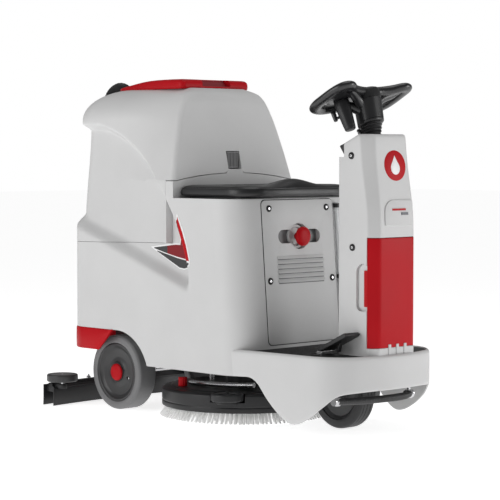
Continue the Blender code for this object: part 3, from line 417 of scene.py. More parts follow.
def curve_through(table, value):
    """Smooth reading of a short table of (position, value) pairs."""
    if value <= table[0][0]:
        return table[0][1]
    if value >= table[-1][0]:
        return table[-1][1]

    def slope(i):
        low, high = max(0, i - 1), min(len(table) - 1, i + 1)
        return (table[high][1] - table[low][1]) / (table[high][0] - table[low][0])

    i = next(k for k in range(len(table) - 1) if value <= table[k + 1][0])
    (p0, v0), (p1, v1) = table[i], table[i + 1]
    h = p1 - p0
    t = (value - p0) / h
    return ((2 * t ** 3 - 3 * t * t + 1) * v0 + (t ** 3 - 2 * t * t + t) * h * slope(i)
            + (3 * t * t - 2 * t ** 3) * v1 + (t ** 3 - t * t) * h * slope(i + 1))


def recess(x, z):
    """0 on the outer skin, 1 in the sculpted side panel."""
    cx, cz, ax, az = RECESS_ARC
    reach = (max(0.0, x - cx) / ax) ** 1.6 + (max(0.0, z - cz) / az) ** 1.6
    foot_z, foot_x, slope = RECESS_FOOT
    return smooth((1 - reach) / 0.08) * smooth((z - foot_z - slope * (x - foot_x)) / 0.045)


def shoulder(z):
    return min(1.0, max(0.0, (z - LIP_Z) / (TANK_TOP_Z - LIP_Z)))


def side_reach(x, z):
    """Half width of the outer skin, without the recess."""
    lean = 0.015 * smooth((z - 0.6) / 0.37)
    rear = HALF_WIDTH - lean
    if z > LIP_Z:
        rear = 0.12 + (rear - 0.12) * math.sqrt(1 - shoulder(z) ** 2)
    front = curve_through(SHOULDER_FRONT, z)
    return rear + (front - rear) * smooth((x + 0.42) / 0.33)


def skin_y(x, z):
    """The right side's surface, recess included."""
    return -(side_reach(x, z) - RECESS_DEPTH * recess(x, z))


def rear_reach(z):
    lean = 0.015 * smooth((z - 0.6) / 0.37)
    return BODY_REAR + lean + 0.13 * (1 - math.sqrt(1 - shoulder(z) ** 2))


def skin_ring(z, rear_x, front_x, rear_radius, front_radius, side_steps=120, corner_steps=12, lift=None,
              inset=0.0):
    """One section of body or tank; lift(x, y) raises its points."""
    half = []

    def note(x, y, nx, ny):
        depth = RECESS_DEPTH * recess(x, z) * (1 - max(0.0, nx)) + inset
        px, py = x - nx * depth, min(0.0, y - ny * depth)
        half.append((px, py, z + (lift(px, py) if lift else 0.0)))

    rear_half = side_reach(rear_x + rear_radius, z)
    for step in range(6):
        note(rear_x, -(rear_half - rear_radius) * step / 6, -1, 0)
    for x, y in arc((rear_x + rear_radius, -rear_half + rear_radius), rear_radius, 180, 270, corner_steps):
        note(x, y, (x - rear_x - rear_radius) / rear_radius, (y + rear_half - rear_radius) / rear_radius)
    start, end = rear_x + rear_radius, front_x - front_radius
    for i in range(1, side_steps):
        x = start + (end - start) * i / side_steps
        note(x, -side_reach(x, z), 0, -1)
    front_width = side_reach(end, z)
    for x, y in arc((end, -front_width + front_radius), front_radius, 270, 360, corner_steps):
        note(x, y, (x - end) / front_radius, (y + front_width - front_radius) / front_radius)
    for step in range(11, -1, -1):
        note(front_x, (-front_width + front_radius) * step / 12, 1, 0)
    return half + [(x, -y, z_) for x, y, z_ in half[-2:0:-1]]


def seat_box_front(z):
    return 0.268 - 0.038 * (z - 0.254) / (SEAT_BOX_Z - 0.254)


def split_z(x):
    """The joint between body and tank falls slightly to the rear."""
    return SPLIT_Z + 0.005 - 0.01 * (SPLIT_X - x) / (SPLIT_X - BODY_REAR)


def arch_rise(y):
    """Height of the arched line over its ends, with the raised tab in the middle."""
    rise = 0.024 * max(0.0, 1 - (y / 0.262) ** 2)
    return rise + 0.0135 * smooth((0.0335 - abs(y)) / 0.002)


def build_body():
    levels = [0.1, 0.2495] + [0.2625 + 0.0062 * i for i in range(93)]
    rings = [skin_ring(z, BODY_REAR, seat_box_front(z), REAR_CORNER, 0.105) for z in levels]
    above_split = [(-0.7, split_z(-0.7) - SEAM / 2), (SPLIT_X, split_z(SPLIT_X) - SEAM / 2),
                   (SPLIT_X, 0.9), (-0.7, 0.9)]
    ys = [0.28 - 0.008 * i for i in range(71)]
    arch_line = [(0.4, WALL_TOP_Z)] + [(y, WALL_TOP_Z + arch_rise(y)) for y in ys] + [(-0.4, WALL_TOP_Z)]
    wheel_arch = [(-0.65, TAIL_Z)] + arc((-0.34, 0.108), 0.164, 90, 20, 24)
    profile = wheel_arch + [(0.6, SILL_Z), (0.6, 0.85), (-0.65, 0.85)]
    return add("body_shell", "grey", "chassis", skin(rings), stands_for=("main_body",),
               cuts=[slab(above_split, -0.4, 0.4, "XZ"),
                     slab(arch_line + [(-0.4, 0.92), (0.4, 0.92)], -0.2, 0.0, "YZ"),
                     block((BACKREST_X, -0.4, SEAT_BOX_Z), (0.4, 0.4, 0.91)),
                     block((-0.596, -0.267, 0.0), (0.15, 0.267, DECK_Z)),
                     block((0.14, -0.2, 0.0), (0.206, 0.2, DECK_Z)),
                     block((0.2, -0.16, 0.0), (0.4, 0.16, 0.24)),
                     block((-0.045, -0.225, 0.27), (0.215, 0.225, 0.8)),
                     block((-0.575, -0.225, 0.284), (-0.105, 0.225, 0.7)),
                     lathe([(0, 0.05), (0.041, 0.05), (0.041, -0.05), (0, -0.05)], (0.271, 0, KNOB_Z), "X"),
                     block((0.223, -0.094, KNOB_Z - 0.0215), (0.32, 0.094, KNOB_Z + 0.0215))],
               common=[slab(profile, -0.41, 0.41, "XZ")])


# ---- bumper and footboard ---------------------------------------------------------------------
SKIRT = [(0.2, SILL_Z), (0.24, SILL_Z), (0.285, 0.165), (0.318, 0.147), (0.35, 0.108), (0.393, 0.065),
         (0.43, 0.04), (0.455, 0.034), (0.49, 0.042), (0.53, 0.064), (0.575, 0.098), (0.612, 0.13),
         (0.655, 0.141), (0.69, 0.144)]


def bumper_path():
    """Right half of the plan outline, from inside the body's side to the nose: (x, y, outward normal)."""
    start, corner, radius = Vector((0.085, -0.2743)), Vector((0.52, -0.1055)), 0.138
    points = [Vector((x / 100, -0.2743)) for x in (2, 4, 6)]
    arc_points = [Vector(p) for p in arc(corner, radius, -86, -15, 24)]
    points += [start.lerp(arc_points[0], i / 32) for i in range(32)] + arc_points
    end = points[-1]
    for step in range(11, -1, -1):
        share = step / 12
        points.append(Vector((end.x + (BODY_FRONT - end.x) * (1 - share * share), end.y * share)))
    made = []
    for i, point in enumerate(points):
        along = points[min(i + 1, len(points) - 1)] - points[max(i - 1, 0)]
        if i == len(points) - 1:
            along = Vector((0, 1))
        normal = Vector((along.y, -along.x)).normalized()
        made.append((point, normal))
    return made


def bumper_section(x):
    """Cross-section of the skirt at x: (distance inside the outline, z), round the wall."""
    foot = curve_through(SKIRT, x)
    crown = 0.012
    section = [(0.0105, FLOOR_Z - 0.01), (0.0102, FLOOR_Z - 0.0025), (0.0092, FLOOR_Z - 0.0006)]
    section += [(crown - crown * math.sin(math.radians(a)),
                 FLOOR_Z - crown + crown * math.cos(math.radians(a)))
                for a in (18, 36, 54, 72, 90)]
    side_top = FLOOR_Z - crown
    for i in range(1, 13):
        z = side_top + (foot + 0.004 - side_top) * i / 12
        section.append((0.006 * smooth((0.13 - z) / 0.12), z))
    lean = 0.006 * smooth((0.13 - foot) / 0.12)
    section += [(lean + 0.001, foot + 0.0012), (lean + 0.0035, foot), (lean + 0.006, foot + 0.0012),
                (lean + 0.007, foot + 0.0045), (0.0075 + lean / 2, 0.2), (0.0105, 0.234)]
    return section


def build_bumper():
    right = []
    for point, normal in bumper_path():
        right.append([(point.x - normal.x * d, point.y - normal.y * d, z)
                      for d, z in bumper_section(point.x)])
    left = [[(x, -y, z) for x, y, z in ring] for ring in right[-2::-1]]
    add("bumper_skirt", "grey", "chassis", skin(right + left), angle=45)
    inner = [(p.x - n.x * 0.008, p.y - n.y * 0.008) for p, n in bumper_path()[4:]]
    floor = inner + [(x, -y) for x, y in inner[-2::-1]]
    add("footboard_plate", "grey", "chassis", slab(floor, 0.2345, 0.2405))
    inner = [(p.x - n.x * 0.0115, p.y - n.y * 0.0115) for p, n in bumper_path()[4:]]
    sheet = [(p[0], p[1]) for p in inner] + [(x, -y) for x, y in inner[-2::-1]]
    foot = [(x, y) for x, y, z in skin_ring(0.254, 0.0, seat_box_front(0.254) + 0.0008, 0.002, 0.105, 8, 12)]
    ribs = [block((0.284 + 0.0085 * i, -0.262, 0.244), (0.2882 + 0.0085 * i, 0.262, 0.2468))
            for i in range(27)]
    add("footboard_mat_base", "mat", "chassis", slab(sheet, 0.2406, 0.2448), stands_for=("footboard_mat",),
        cuts=[slab(foot, 0.2, 0.3), block((0.5108, -0.1048, 0.2), (0.7, 0.1048, 0.3))])
    rib_area = [(p.x - n.x * 0.02, p.y - n.y * 0.02) for p, n in bumper_path()[4:]]
    rib_area = rib_area + [(x, -y) for x, y in rib_area[-2::-1]]
    add("footboard_mat_ribs", "mat", "chassis", *ribs, common=[slab(rib_area, 0.2, 0.3)],
        cuts=[block((0.5048, -0.11, 0.2), (0.7, 0.11, 0.3)),
              block((0.47, -0.178, 0.2), (0.515, -0.105, 0.3))])


def build_tail():
    """Red bumper that wraps the tail between the wheel arches, its ends cut on the slant."""
    right = [(x, -HALF_WIDTH) for x in (-0.36, -0.372, -0.386, -0.4, -0.415, -0.431, -0.455, -0.48)]
    right += arc((BODY_REAR + REAR_CORNER, -HALF_WIDTH + REAR_CORNER), REAR_CORNER, 270, 180, 18)
    rings = []
    for x, y in right:
        centre = Vector((BODY_REAR + REAR_CORNER, -HALF_WIDTH + REAR_CORNER))
        normal = (Vector((x, y)) - centre).normalized() if x < centre.x else Vector((0, -1))
        foot = max(0.2, 0.19 + 1.011 * (x + 0.441))
        top = TAIL_Z - 0.0006
        high, thick = max(0.0012, top - foot), 0.003
        section = [(-0.006, foot + 0.05 * high), (0.0008, foot), (thick, foot + 0.05 * high),
                   (thick + 0.0006, foot + 0.5 * high), (thick, foot + 0.94 * high), (0.0008, foot + high),
                   (-0.006, foot + 0.95 * high)]
        rings.append([(x + normal.x * d, y + normal.y * d, z) for d, z in section])
    rings += [[(x, -y, z) for x, y, z in ring] for ring in rings[::-1]]
    add("tail_bumper", "red", "chassis", skin(rings), stands_for=("rear_bumper_cover",), angle=50)


# ---- recovery tank ----------------------------------------------------------------------------
def build_tank():
    """The tank's shell; its front steps forward over the wall behind the seat."""
    def arch(share):
        return lambda x, y: arch_rise(y) * share * smooth((x + 0.3) / 0.18)

    base = split_z(BODY_REAR) + SEAM / 2
    rings = []
    steps = 34
    for i in range(steps + 1):
        z = base + (WALL_TOP_Z - base) * i / steps
        fall = (1 - i / steps) * (split_z(SPLIT_X) - split_z(BODY_REAR)) / (SPLIT_X - BODY_REAR)
        rise = smooth((z - 0.66) / 0.11)

        def lift(x, y, fall=fall, rise=rise):
            return fall * (x - BODY_REAR) + arch(rise)(x, y)
        rings.append(skin_ring(z, rear_reach(z), SPLIT_X - SEAM, REAR_CORNER, 0.004, lift=lift))
    seam_z = WALL_TOP_Z + 2 * SEAM
    rings[-1] = skin_ring(seam_z, rear_reach(seam_z), SPLIT_X - SEAM, REAR_CORNER, 0.004, lift=arch(1.0))
    upper = [seam_z + (LIP_Z - seam_z) * i / 36 for i in range(37)]
    upper += [0.974, 0.98, 0.99, 1.0, 1.012, 1.024, 1.036, 1.046, 1.055, 1.063, 1.069, 1.0725, 1.0745]
    for z in upper:
        share = 1 - smooth((z - seam_z) / 0.13)
        ring = skin_ring(z, rear_reach(z), curve_through(BACKREST_LEAN, z), REAR_CORNER, 0.02,
                         lift=arch(share))
        rings.append(ring)
    add("tank_shell", "grey", "recovery_tank", skin(rings), stands_for=("recovery_tank",), angle=40,
        cuts=[block((SPLIT_X - 0.002, -0.03, 0.8085), (-0.03, 0.03, 0.867)),
              sweep(smooth_route(HOSE_ROUTE, 0.012), HOSE_RADIUS + 0.002, 24)])


HOSE_X = -0.641                    # the hose hangs here, behind the tank and the body
HOSE_PITCH, HOSE_DEPTH = 0.008, 0.0046
HOSE_ROUTE = [(HOSE_X, 0, 0.5425), (HOSE_X, 0, 0.62), (HOSE_X, -0.005, 0.8), (-0.642, -0.03, 0.94),
              (-0.64, -0.05, 1.01), (-0.618, -0.058, 1.058), (-0.573, -0.06, 1.08), (-0.532, -0.06, 1.064),
              (-0.515, -0.06, 1.028)]


def corrugated(points, radius, pitch, depth, sides=22):
    """A hose wall that waves in and out along the route."""
    route = smooth_route(points, pitch / 4)
    last = len(route) - 1

    def wall(share):
        return radius - depth * (0.5 - 0.5 * math.cos(math.pi / 2 * round(share * last)))
    return sweep(route, wall, sides)


def build_hoses():
    upper = add("suction_hose_top", "rubber", None,
                corrugated(HOSE_ROUTE, HOSE_RADIUS, HOSE_PITCH, HOSE_DEPTH),
                stands_for=("suction_hose_upper",), angle=80, ride=False)
    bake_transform(upper)
    lower = add("suction_hose_bottom", "rubber", None,
                corrugated([(NOZZLE_X, 0, 0.1365), (NOZZLE_X, 0, 0.25), (HOSE_X, 0, 0.38),
                            (HOSE_X, 0, 0.4975)],
                           HOSE_RADIUS, HOSE_PITCH, HOSE_DEPTH),
                stands_for=("suction_hose_lower",), angle=80, ride=False)
    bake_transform(lower)
    cuff = rounded_profile([(0, 0.022), (0.0268, 0.022), (0.0278, 0.01), (0.0262, 0.006), (0.0262, -0.006),
                            (0.0278, -0.01), (0.0268, -0.022), (0, -0.022)], 0.002)
    add("hose_cuff", "black", "chassis", lathe(cuff, (HOSE_X, 0, 0.52)),
        block((-0.63, -0.0185, 0.51), (-0.6055, 0.0185, 0.53)), stands_for=("hose_coupling",), bevel=0.0012)
    add("hose_top_cuff", "black", "recovery_tank",
        lathe(rounded_profile([(0.0258, 0.012), (0.03, 0.012), (0.03, 0.002), (0.035, -0.004),
                               (0.0258, -0.004)],
                              0.002), (-0.5215, -0.06, 1.056), Matrix.Rotation(math.radians(-22), 4, "Y"),
              closed=True))


build_body()
build_bumper()
build_tail()
build_tank()
build_hoses()


# ---- tank lid, latch and hinges ---------------------------------------------------------------
LID_TOP = [(-0.492, 1.077), (-0.46, 1.0815), (-0.42, 1.088), (-0.36, 1.0975), (-0.3, 1.1025),
           (-0.22, 1.104), (-0.145, 1.1035)]


def lid_ring(inset, share):
    """A level of the wedge-shaped lid: share 0 is its lower edge, 1 its top."""
    x0, x1, half = -0.49 + inset, -0.145 - inset, 0.154 - inset
    radius = max(0.012, 0.046 - 0.5 * inset)
    front = max(0.008, 0.02 - 0.5 * inset)
    outline = arc((x1 - front, half - front), front, 0, 90, 6)
    outline += [(x1 - front - (x1 - front - x0 - radius) * i / 16, half) for i in range(1, 16)]
    outline += arc((x0 + radius, half - radius), radius, 90, 180, 8)
    outline += [(x, -y) for x, y in outline[::-1]]
    ring = []
    for x, y in outline:
        low = 1.07 + 0.002 * smooth((x + 0.45) / 0.3)
        ring.append((x, y, low + (curve_through(LID_TOP, x) - low) * share))
    return ring


def build_lid():
    """The red lid, a wedge that rises from the hose to a finger scoop at its front edge."""
    levels = ((0.003, 0.0), (0.0006, 0.1), (0.0, 0.35), (0.0008, 0.62), (0.003, 0.8), (0.0075, 0.92),
              (0.014, 0.98), (0.026, 1.0), (0.045, 1.01), (0.07, 1.015))
    scoop = (-0.146, 0, 1.121)
    add("lid_shell", "red", "tank_lid", skin([lid_ring(*level) for level in levels]),
        stands_for=("tank_lid",),
        angle=40, cuts=[lathe([(0, 0.063), (0.04, 0.063), (0.04, -0.063), (0, -0.063)], scoop, "Y")])
    # The scoop's dark red lining is painted shade in the finger hollow.
    lining = arc((scoop[0], scoop[2]), 0.0398, 208, 268, 12) + arc((scoop[0], scoop[2]), 0.0412, 268, 208, 12)
    add("lid_finger_recess", "deep_red", "tank_lid", slab(lining, -0.0626, 0.0626, "XZ"))


def build_latch():
    grooves = [block((-0.069, -0.024 + 0.0066 * i, 0.815), (-0.064, -0.022 + 0.0066 * i, 0.8605))
               for i in range(8)]
    # A near-black block in the pocket behind the latch plate: painted shade round the plate.
    add("latch_pocket", "seam", "recovery_tank",
        block((SPLIT_X - 0.0014, -0.0298, 0.8085), (-0.09, 0.0298, 0.8668)))
    add("latch_plate", "latch", "recovery_tank", block((-0.0898, -0.0275, 0.8105), (-0.0668, 0.0275, 0.865)),
        stands_for=("tank_latch",), cuts=grooves, bevel=0.0012, segments=2)
    for side in (-1, 1):
        name = "left" if side > 0 else "right"
        y = side * 0.175
        leaf = rounded_rectangle(y - 0.0245, y + 0.0245, 0.529, 0.558, 0.005, 4)
        screws = [lathe([(0, 0.0022), (0.003, 0.0018), (0.0042, 0.0), (0, 0)],
                        (-0.609, y + s * 0.015, 0.54),
                        TURN["X"] @ Matrix.Rotation(math.pi, 4, "X")) for s in (-1, 1)]
        add("hinge_leaf_" + name, "black", "chassis", slab(leaf, -0.609, -0.6056, "YZ"),
            lathe([(0, 0.0245), (0.005, 0.0245), (0.0058, 0.0235), (0.0058, -0.0235), (0.005, -0.0245),
                   (0, -0.0245)],
                  (HINGE.x, y, HINGE.z), "Y", 24), stands_for=("tank_hinge_" + name,), bevel=0.0008,
                  segments=2)
        add("hinge_screws_" + name, "steel", "chassis", *screws)
        leaf = rounded_rectangle(y - 0.0245, y + 0.0245, 0.565, 0.6, 0.005, 4)
        add("hinge_tank_leaf_" + name, "black", "recovery_tank", slab(leaf, -0.6095, -0.6045, "YZ"),
            bevel=0.0008, segments=2)


build_lid()
build_latch()


# ---- seat -------------------------------------------------------------------------------------
def build_seat():
    def dish(x, y):
        """Rise and fall of the seat's top: a hump at the front middle, a shallow hollow behind it."""
        hump = 0.026 * math.exp(-((x - 0.205) / 0.055) ** 2 - (y / 0.085) ** 2)
        hollow = 0.007 * math.exp(-((x - 0.07) / 0.085) ** 2 - (y / 0.14) ** 2)
        bolster = 0.004 * smooth((abs(y) - 0.13) / 0.07)
        return hump - hollow + bolster

    def ring(inset, z, share):
        front = max(0.012, 0.08 - inset * 0.6)
        rear = 0.012 + 0.5 * inset
        x0, x1, half = -0.053 + inset, 0.257 - inset, 0.25 - inset
        outline = [(x1, (half - front) * (i + 0.5) / 10) for i in range(10)]
        outline += arc((x1 - front, half - front), front, 0, 90, 9)
        outline += [(x1 - front - (x1 - front - x0 - rear) * i / 12, half) for i in range(1, 12)]
        outline += arc((x0 + rear, half - rear), rear, 90, 180, 6)
        outline += [(x, -y) for x, y in outline[::-1]]
        return [(x, y, z + share * dish(x, y)) for x, y in outline]

    rings = [ring(0.016, 0.7216, 0), ring(0.006, 0.7224, 0), ring(0.0015, 0.7255, 0), ring(0.0, 0.731, 0),
             ring(0.0002, 0.738, 0), ring(0.0012, 0.744, 0), ring(0.003, 0.7478, 0.1),
             ring(0.0046, 0.7484, 0.1),
             ring(0.0058, 0.75, 0.2), ring(0.009, 0.7522, 0.4), ring(0.015, 0.7538, 0.7),
             ring(0.026, 0.7548, 1),
             ring(0.045, 0.7551, 1), ring(0.07, 0.7552, 1), ring(0.095, 0.7552, 1), ring(0.12, 0.7552, 1),
             ring(0.14, 0.7552, 1)]
    pad = add("seat_pad", "vinyl", "seat", skin(rings), stands_for=("seat_cushion",), subdivide=1, angle=60)
    seam = [(x, y, 0.7481 + 0.1 * dish(x, y)) for x, y, z in ring(0.0036, 0, 0)]
    add("seat_piping", "soft_black", "seat", sweep(seam, 0.0013, 8, closed=True))
    add("seat_pan", "black", "seat",
        slab(rounded_rectangle(-0.045, 0.24, -0.238, 0.238, 0.05, 8), 0.7164, 0.7212),
        stands_for=("seat_base",), bevel=0.0012, segments=2)


build_seat()


# ---- front panel of the seat box --------------------------------------------------------------
PANEL_LEAN = math.atan2(0.038, SEAT_BOX_Z - 0.254)


def on_panel(y, z, out=0.0):
    """Local X points out of the leaning panel, Z up along it."""
    turn = Matrix.Rotation(-PANEL_LEAN, 4, "Y")
    return Matrix.Translation(Vector((seat_box_front(z), y, z))) @ turn @ Matrix.Translation(Vector((out, 0,
                                                                                                     0)))


def screw(matrix, head=0.0105, height=0.0045):
    """A black cup washer with a bright socket screw in it: two sets of bodies, looking along local X."""
    washer = [(0.0046, 0.0006), (0.0066, height), (head, height * 0.5), (head + 0.0005, 0), (0.0046, 0)]
    bolt = [(0, 0.0016), (0.0017, 0.0016), (0.0019, 0.0032), (0.004, 0.0032), (0.0045, 0.0024),
            (0.0045, 0), (0, 0)]
    return (place(matrix, lathe(washer, (0, 0, 0), "X", 28, closed=True)),
            place(matrix, lathe(bolt, (0, 0, 0), "X", 28)))


def build_panel():
    plate = rounded_rectangle(-0.16, 0.16, -0.228, 0.228, 0.014, 6)
    lobes = rounded_rectangle(-0.094, 0.094, -0.0215, 0.0215, 0.0214, 8)
    middle = on_panel(0, 0.484)
    hole = on_panel(0, KNOB_Z)
    add("access_panel", "panel", "chassis", place(middle, slab(plate, 0.0004, 0.0034, "YZ")),
        stands_for=("seat_box_panel",), cuts=[place(hole, slab(lobes, -0.02, 0.02, "YZ")),
              place(hole, slab(arc((0, 0), 0.041, 0, 354, 59), -0.02, 0.02, "YZ"))],
        bevel=0.0012, segments=3)
    # A near-black sheet just behind the panel's edge: painted shade in the gap round it.
    gap = rounded_rectangle(-0.1622, 0.1622, -0.2302, 0.2302, 0.016, 6)
    add("access_panel_gap", "seam", "chassis", place(middle, slab(gap, 0.0002, 0.001, "YZ")),
        cuts=[place(hole, slab(rounded_rectangle(-0.098, 0.098, -0.044, 0.044, 0.02, 6), -0.02, 0.02, "YZ"))])
    # The pocket floor is mid grey, darker than the panel: painted shade in the hollow behind the knob.
    add("knob_pocket_floor", "latch", "chassis",
        place(hole, slab(rounded_rectangle(-0.1, 0.1, -0.046, 0.046, 0.02, 6), -0.017, -0.015, "YZ")),
        cuts=[place(hole, lathe([(0, -0.03), (0.0296, -0.03), (0.0296, 0.0), (0, 0.0)], (0, 0, 0), "X", 48))])
    collar = rounded_profile([(0.03, 0.0), (0.03, 0.006), (0.0385, 0.006), (0.0385, 0.0)], 0.002)
    add("knob_collar", "panel", "chassis", place(hole, lathe(collar, (-0.015, 0, 0), "X", 48, closed=True)))
    hoods, slots = [], []
    for i in range(6):
        z = 0.529 - 0.015 * i
        hood = [(0.003, 0.0062), (0.0044, 0.0048), (0.0086, -0.0034), (0.0088, -0.0046), (0.0074, -0.0046),
                (0.003, -0.0024)]
        hoods.append(place(on_panel(0, z), slab(hood, -0.104, 0.104, "XZ")))
        slots.append(place(on_panel(0, z - 0.0044),
                           block((0.002, -0.102, -0.0034), (0.0038, 0.102, 0.0018))))
    add("louvre_hoods", "panel", "chassis", *hoods, bevel=0.0012, segments=3)
    # The slots are mid-grey strips under the hoods: painted shade in the louvre openings.
    add("louvre_slots", "latch", "chassis", *slots, bevel=0.0004, segments=2)
    washers, bolts = [], []
    for y, z in ((-0.13, 0.685), (0.13, 0.685), (-0.14, 0.457), (0.14, 0.457)):
        washer, bolt = screw(on_panel(y, z, 0.0034))
        washers.append(washer)
        bolts.append(bolt)
    add("panel_washers", "black", "chassis", *washers)
    add("panel_screws", "steel", "chassis", *bolts)


def build_emergency_knob():
    cap = [(0, 0.03), (0.01, 0.0298), (0.02, 0.0286), (0.027, 0.0258), (0.0308, 0.0215), (0.0315, 0.017),
           (0.03, 0.0135), (0.025, 0.012), (0.0135, 0.0115), (0.012, 0.01), (0.012, -0.01), (0, -0.01)]
    add("emergency_mushroom", "red", "emergency_knob", lathe(cap, (0.2415, 0, KNOB_Z), "X"),
        stands_for=("emergency_knob",), angle=60)


build_panel()
build_emergency_knob()


def lean_x(z):
    return seat_box_front(z) + 0.008


def build_level_tube():
    y = 0.174
    path = [(lean_x(0.25 + 0.045 * i), y, 0.25 + 0.045 * i) for i in range(11)]
    add("level_tube_glass", "clear", "chassis", sweep(path, 0.006, 20), stands_for=("level_tube",))
    clips = []
    for z in (0.265, 0.46, 0.69):
        x = lean_x(z)
        clips.append(lathe(rounded_profile([(0.0061, 0.007), (0.0095, 0.007), (0.0095, -0.007),
                                            (0.0061, -0.007)],
                                           0.001), (x, y, z), closed=True, steps=24))
        clips.append(block((x - 0.011, y - 0.007, z - 0.0055), (x - 0.0061, y + 0.007, z + 0.0055)))
    add("level_tube_clips", "black", "chassis", *clips)


build_level_tube()


# ---- steering column --------------------------------------------------------------------------
COLUMN_FRONT = [(0.25, 0.661), (0.604, 0.661), (0.684, 0.659), (0.822, 0.64), (0.917, 0.631)]
COLUMN_CHAMFER = [(0.25, 0.025), (0.604, 0.027), (0.917, 0.031)]
COLUMN_NOSE = [(0.25, 0.078), (0.604, 0.076), (0.917, 0.069)]
STEP_Z, STEP_X = 0.848, 0.533      # the column's rear steps forward here


def column_outline(z, inset=0.0, rear=0.513):
    """Plan section with rounded corners, right half then left."""
    front = curve_through(COLUMN_FRONT, z) - inset
    chamfer = curve_through(COLUMN_CHAMFER, z)
    nose = curve_through(COLUMN_NOSE, z) - inset * 0.5
    side = COLUMN_SIDE - inset
    corners = [(rear + inset, 0), (rear + inset, -side), (front - chamfer, -side), (front, -nose), (front, 0)]
    half = rounded_profile(corners, 0.006, 4)
    return [(p.x, p.y) for p in half] + [(p.x, -p.y) for p in half[-2:0:-1]]


def console_z(x):
    return min(0.9175, 0.89 + 0.4583 * (x - 0.533))


def build_column():
    levels = [0.2414] + [0.26 + 0.028 * i for i in range(21)] + [STEP_Z]
    rings = [[(x, y, z) for x, y in column_outline(z)] for z in levels]
    foot = STEP_Z + 0.0004
    for share, inset in ((0.0, 0), (0.3, 0), (0.6, 0), (0.82, 0), (0.91, 0.0006), (0.955, 0.0018),
                         (0.985, 0.0038), (1.0, 0.0066)):
        ring = []
        for x, y in column_outline(foot + (0.9175 - foot) * share, inset, STEP_X):
            ring.append((x, y, foot + share * (console_z(x) - foot)))
        rings.append(ring)
    grip = arc((0.614, 0.5), 0.026, 0, 180, 14) + arc((0.608, 0.401), 0.02, 180, 270, 6)
    grip += arc((0.62, 0.401), 0.02, 270, 360, 6)
    cover_seat = [(x + (0.0036 if x > 0.7 else 0), y) for x, y in cover_line(0.0036)]
    behind = cover_seat + [(cover_seat[-1][0], 0.12), (0.75, 0.12), (0.75, -0.12), (cover_seat[0][0], -0.12)]
    cuts = [slab(behind, 0.269, 0.605)]
    for side in (-1, 1):
        low, high = sorted((side * 0.093, side * 0.12))
        cuts.append(slab(grip, low, high, "XZ"))
    cuts.append(block((0.521, -0.0905, 0.2), (0.6, 0.0905, 0.83)))
    cuts.append(place(Matrix.Translation(STEER_CENTRE) @ Matrix.Rotation(-STEER_TILT, 4, "Y"),
                      lathe([(0, -0.07), (0.0135, -0.07), (0.0135, -0.23), (0, -0.23)], (0, 0, 0))))
    add("column_shell", "grey", "chassis", skin(rings), stands_for=("column_housing",), cuts=cuts, angle=30)
    for side, name in ((-1, "right"), (1, "left")):
        low, high = sorted((side * 0.092, side * 0.0945))
        hollow = [(0.5905, 0.39), (0.6375, 0.39), (0.6375, 0.5)] + arc((0.614, 0.5), 0.0235, 0, 180, 12)
        add("column_grip_floor_" + name, "grey", "chassis", slab(hollow[::-1], low, high, "XZ"))
        low, high = sorted((side * 0.092, side * 0.1))
        tab = [(0.617, 0.395), (0.6355, 0.395), (0.6355, 0.495)] + arc((0.6255, 0.495), 0.01, 0, 90, 6)
        add("column_grip_" + name, "red", "chassis", slab(tab + [(0.617, 0.505)], low, high, "XZ"),
            bevel=0.001)
        washers, bolts = [], []
        for x, z in ((0.567, 0.852), (0.572, 0.574)):
            turn = Matrix.Translation(Vector((x, side * 0.103, z))) @ Matrix.Rotation(side * math.pi / 2, 4,
                                                                                       "Z")
            washer, bolt = screw(turn)
            washers.append(washer)
            bolts.append(bolt)
        add("column_washers_" + name, "black", "chassis", *washers)
        add("column_screws_" + name, "steel", "chassis", *bolts)


def cover_line(depth):
    """The column's front and its two chamfers, set back by depth, from right to left."""
    front, chamfer, nose = 0.661 - depth, 0.026, 0.077 - depth * 0.4
    corners = [(front - chamfer - 0.0006, -COLUMN_SIDE - 0.0006 + depth * 0.9), (front, -nose), (front, 0)]
    half = rounded_profile(corners, 0.011, 5)
    return [(p.x, p.y) for p in half] + [(p.x, -p.y) for p in half[-2::-1]]


def build_column_cover():
    inner = cover_line(0.0032)
    rings = []
    for z, back in ((0.2702, 0.001), (0.2712, 0.0003), (0.273, 0.0), (0.36, 0.0), (0.45, 0.0), (0.54, 0.0),
                    (0.5995, 0.0), (0.6022, 0.0004), (0.6036, 0.0014)):
        rings.append([(x, y, z) for x, y in cover_line(back)] + [(x, y, z) for x, y in inner[::-1]])
    add("column_cover", "red", "chassis", skin(rings), stands_for=("column_front_cover",), angle=40)
    # A near-black strip in the joint atop the red cover: painted shade in the gap.
    gap = [(x, y) for x, y in cover_line(0.0008)] + [(x, y) for x, y in cover_line(0.0036)[::-1]]
    add("column_cover_gap", "seam", "chassis", slab(gap, 0.6036, 0.6054))
    teeth = [block((0.656, y - 0.006, 0.248), (0.6632, y + 0.006, 0.28))
             for y in (-0.032, 0.003, 0.038)]
    add("column_foot_teeth", "grey", "chassis", *teeth, bevel=0.0015, segments=3)


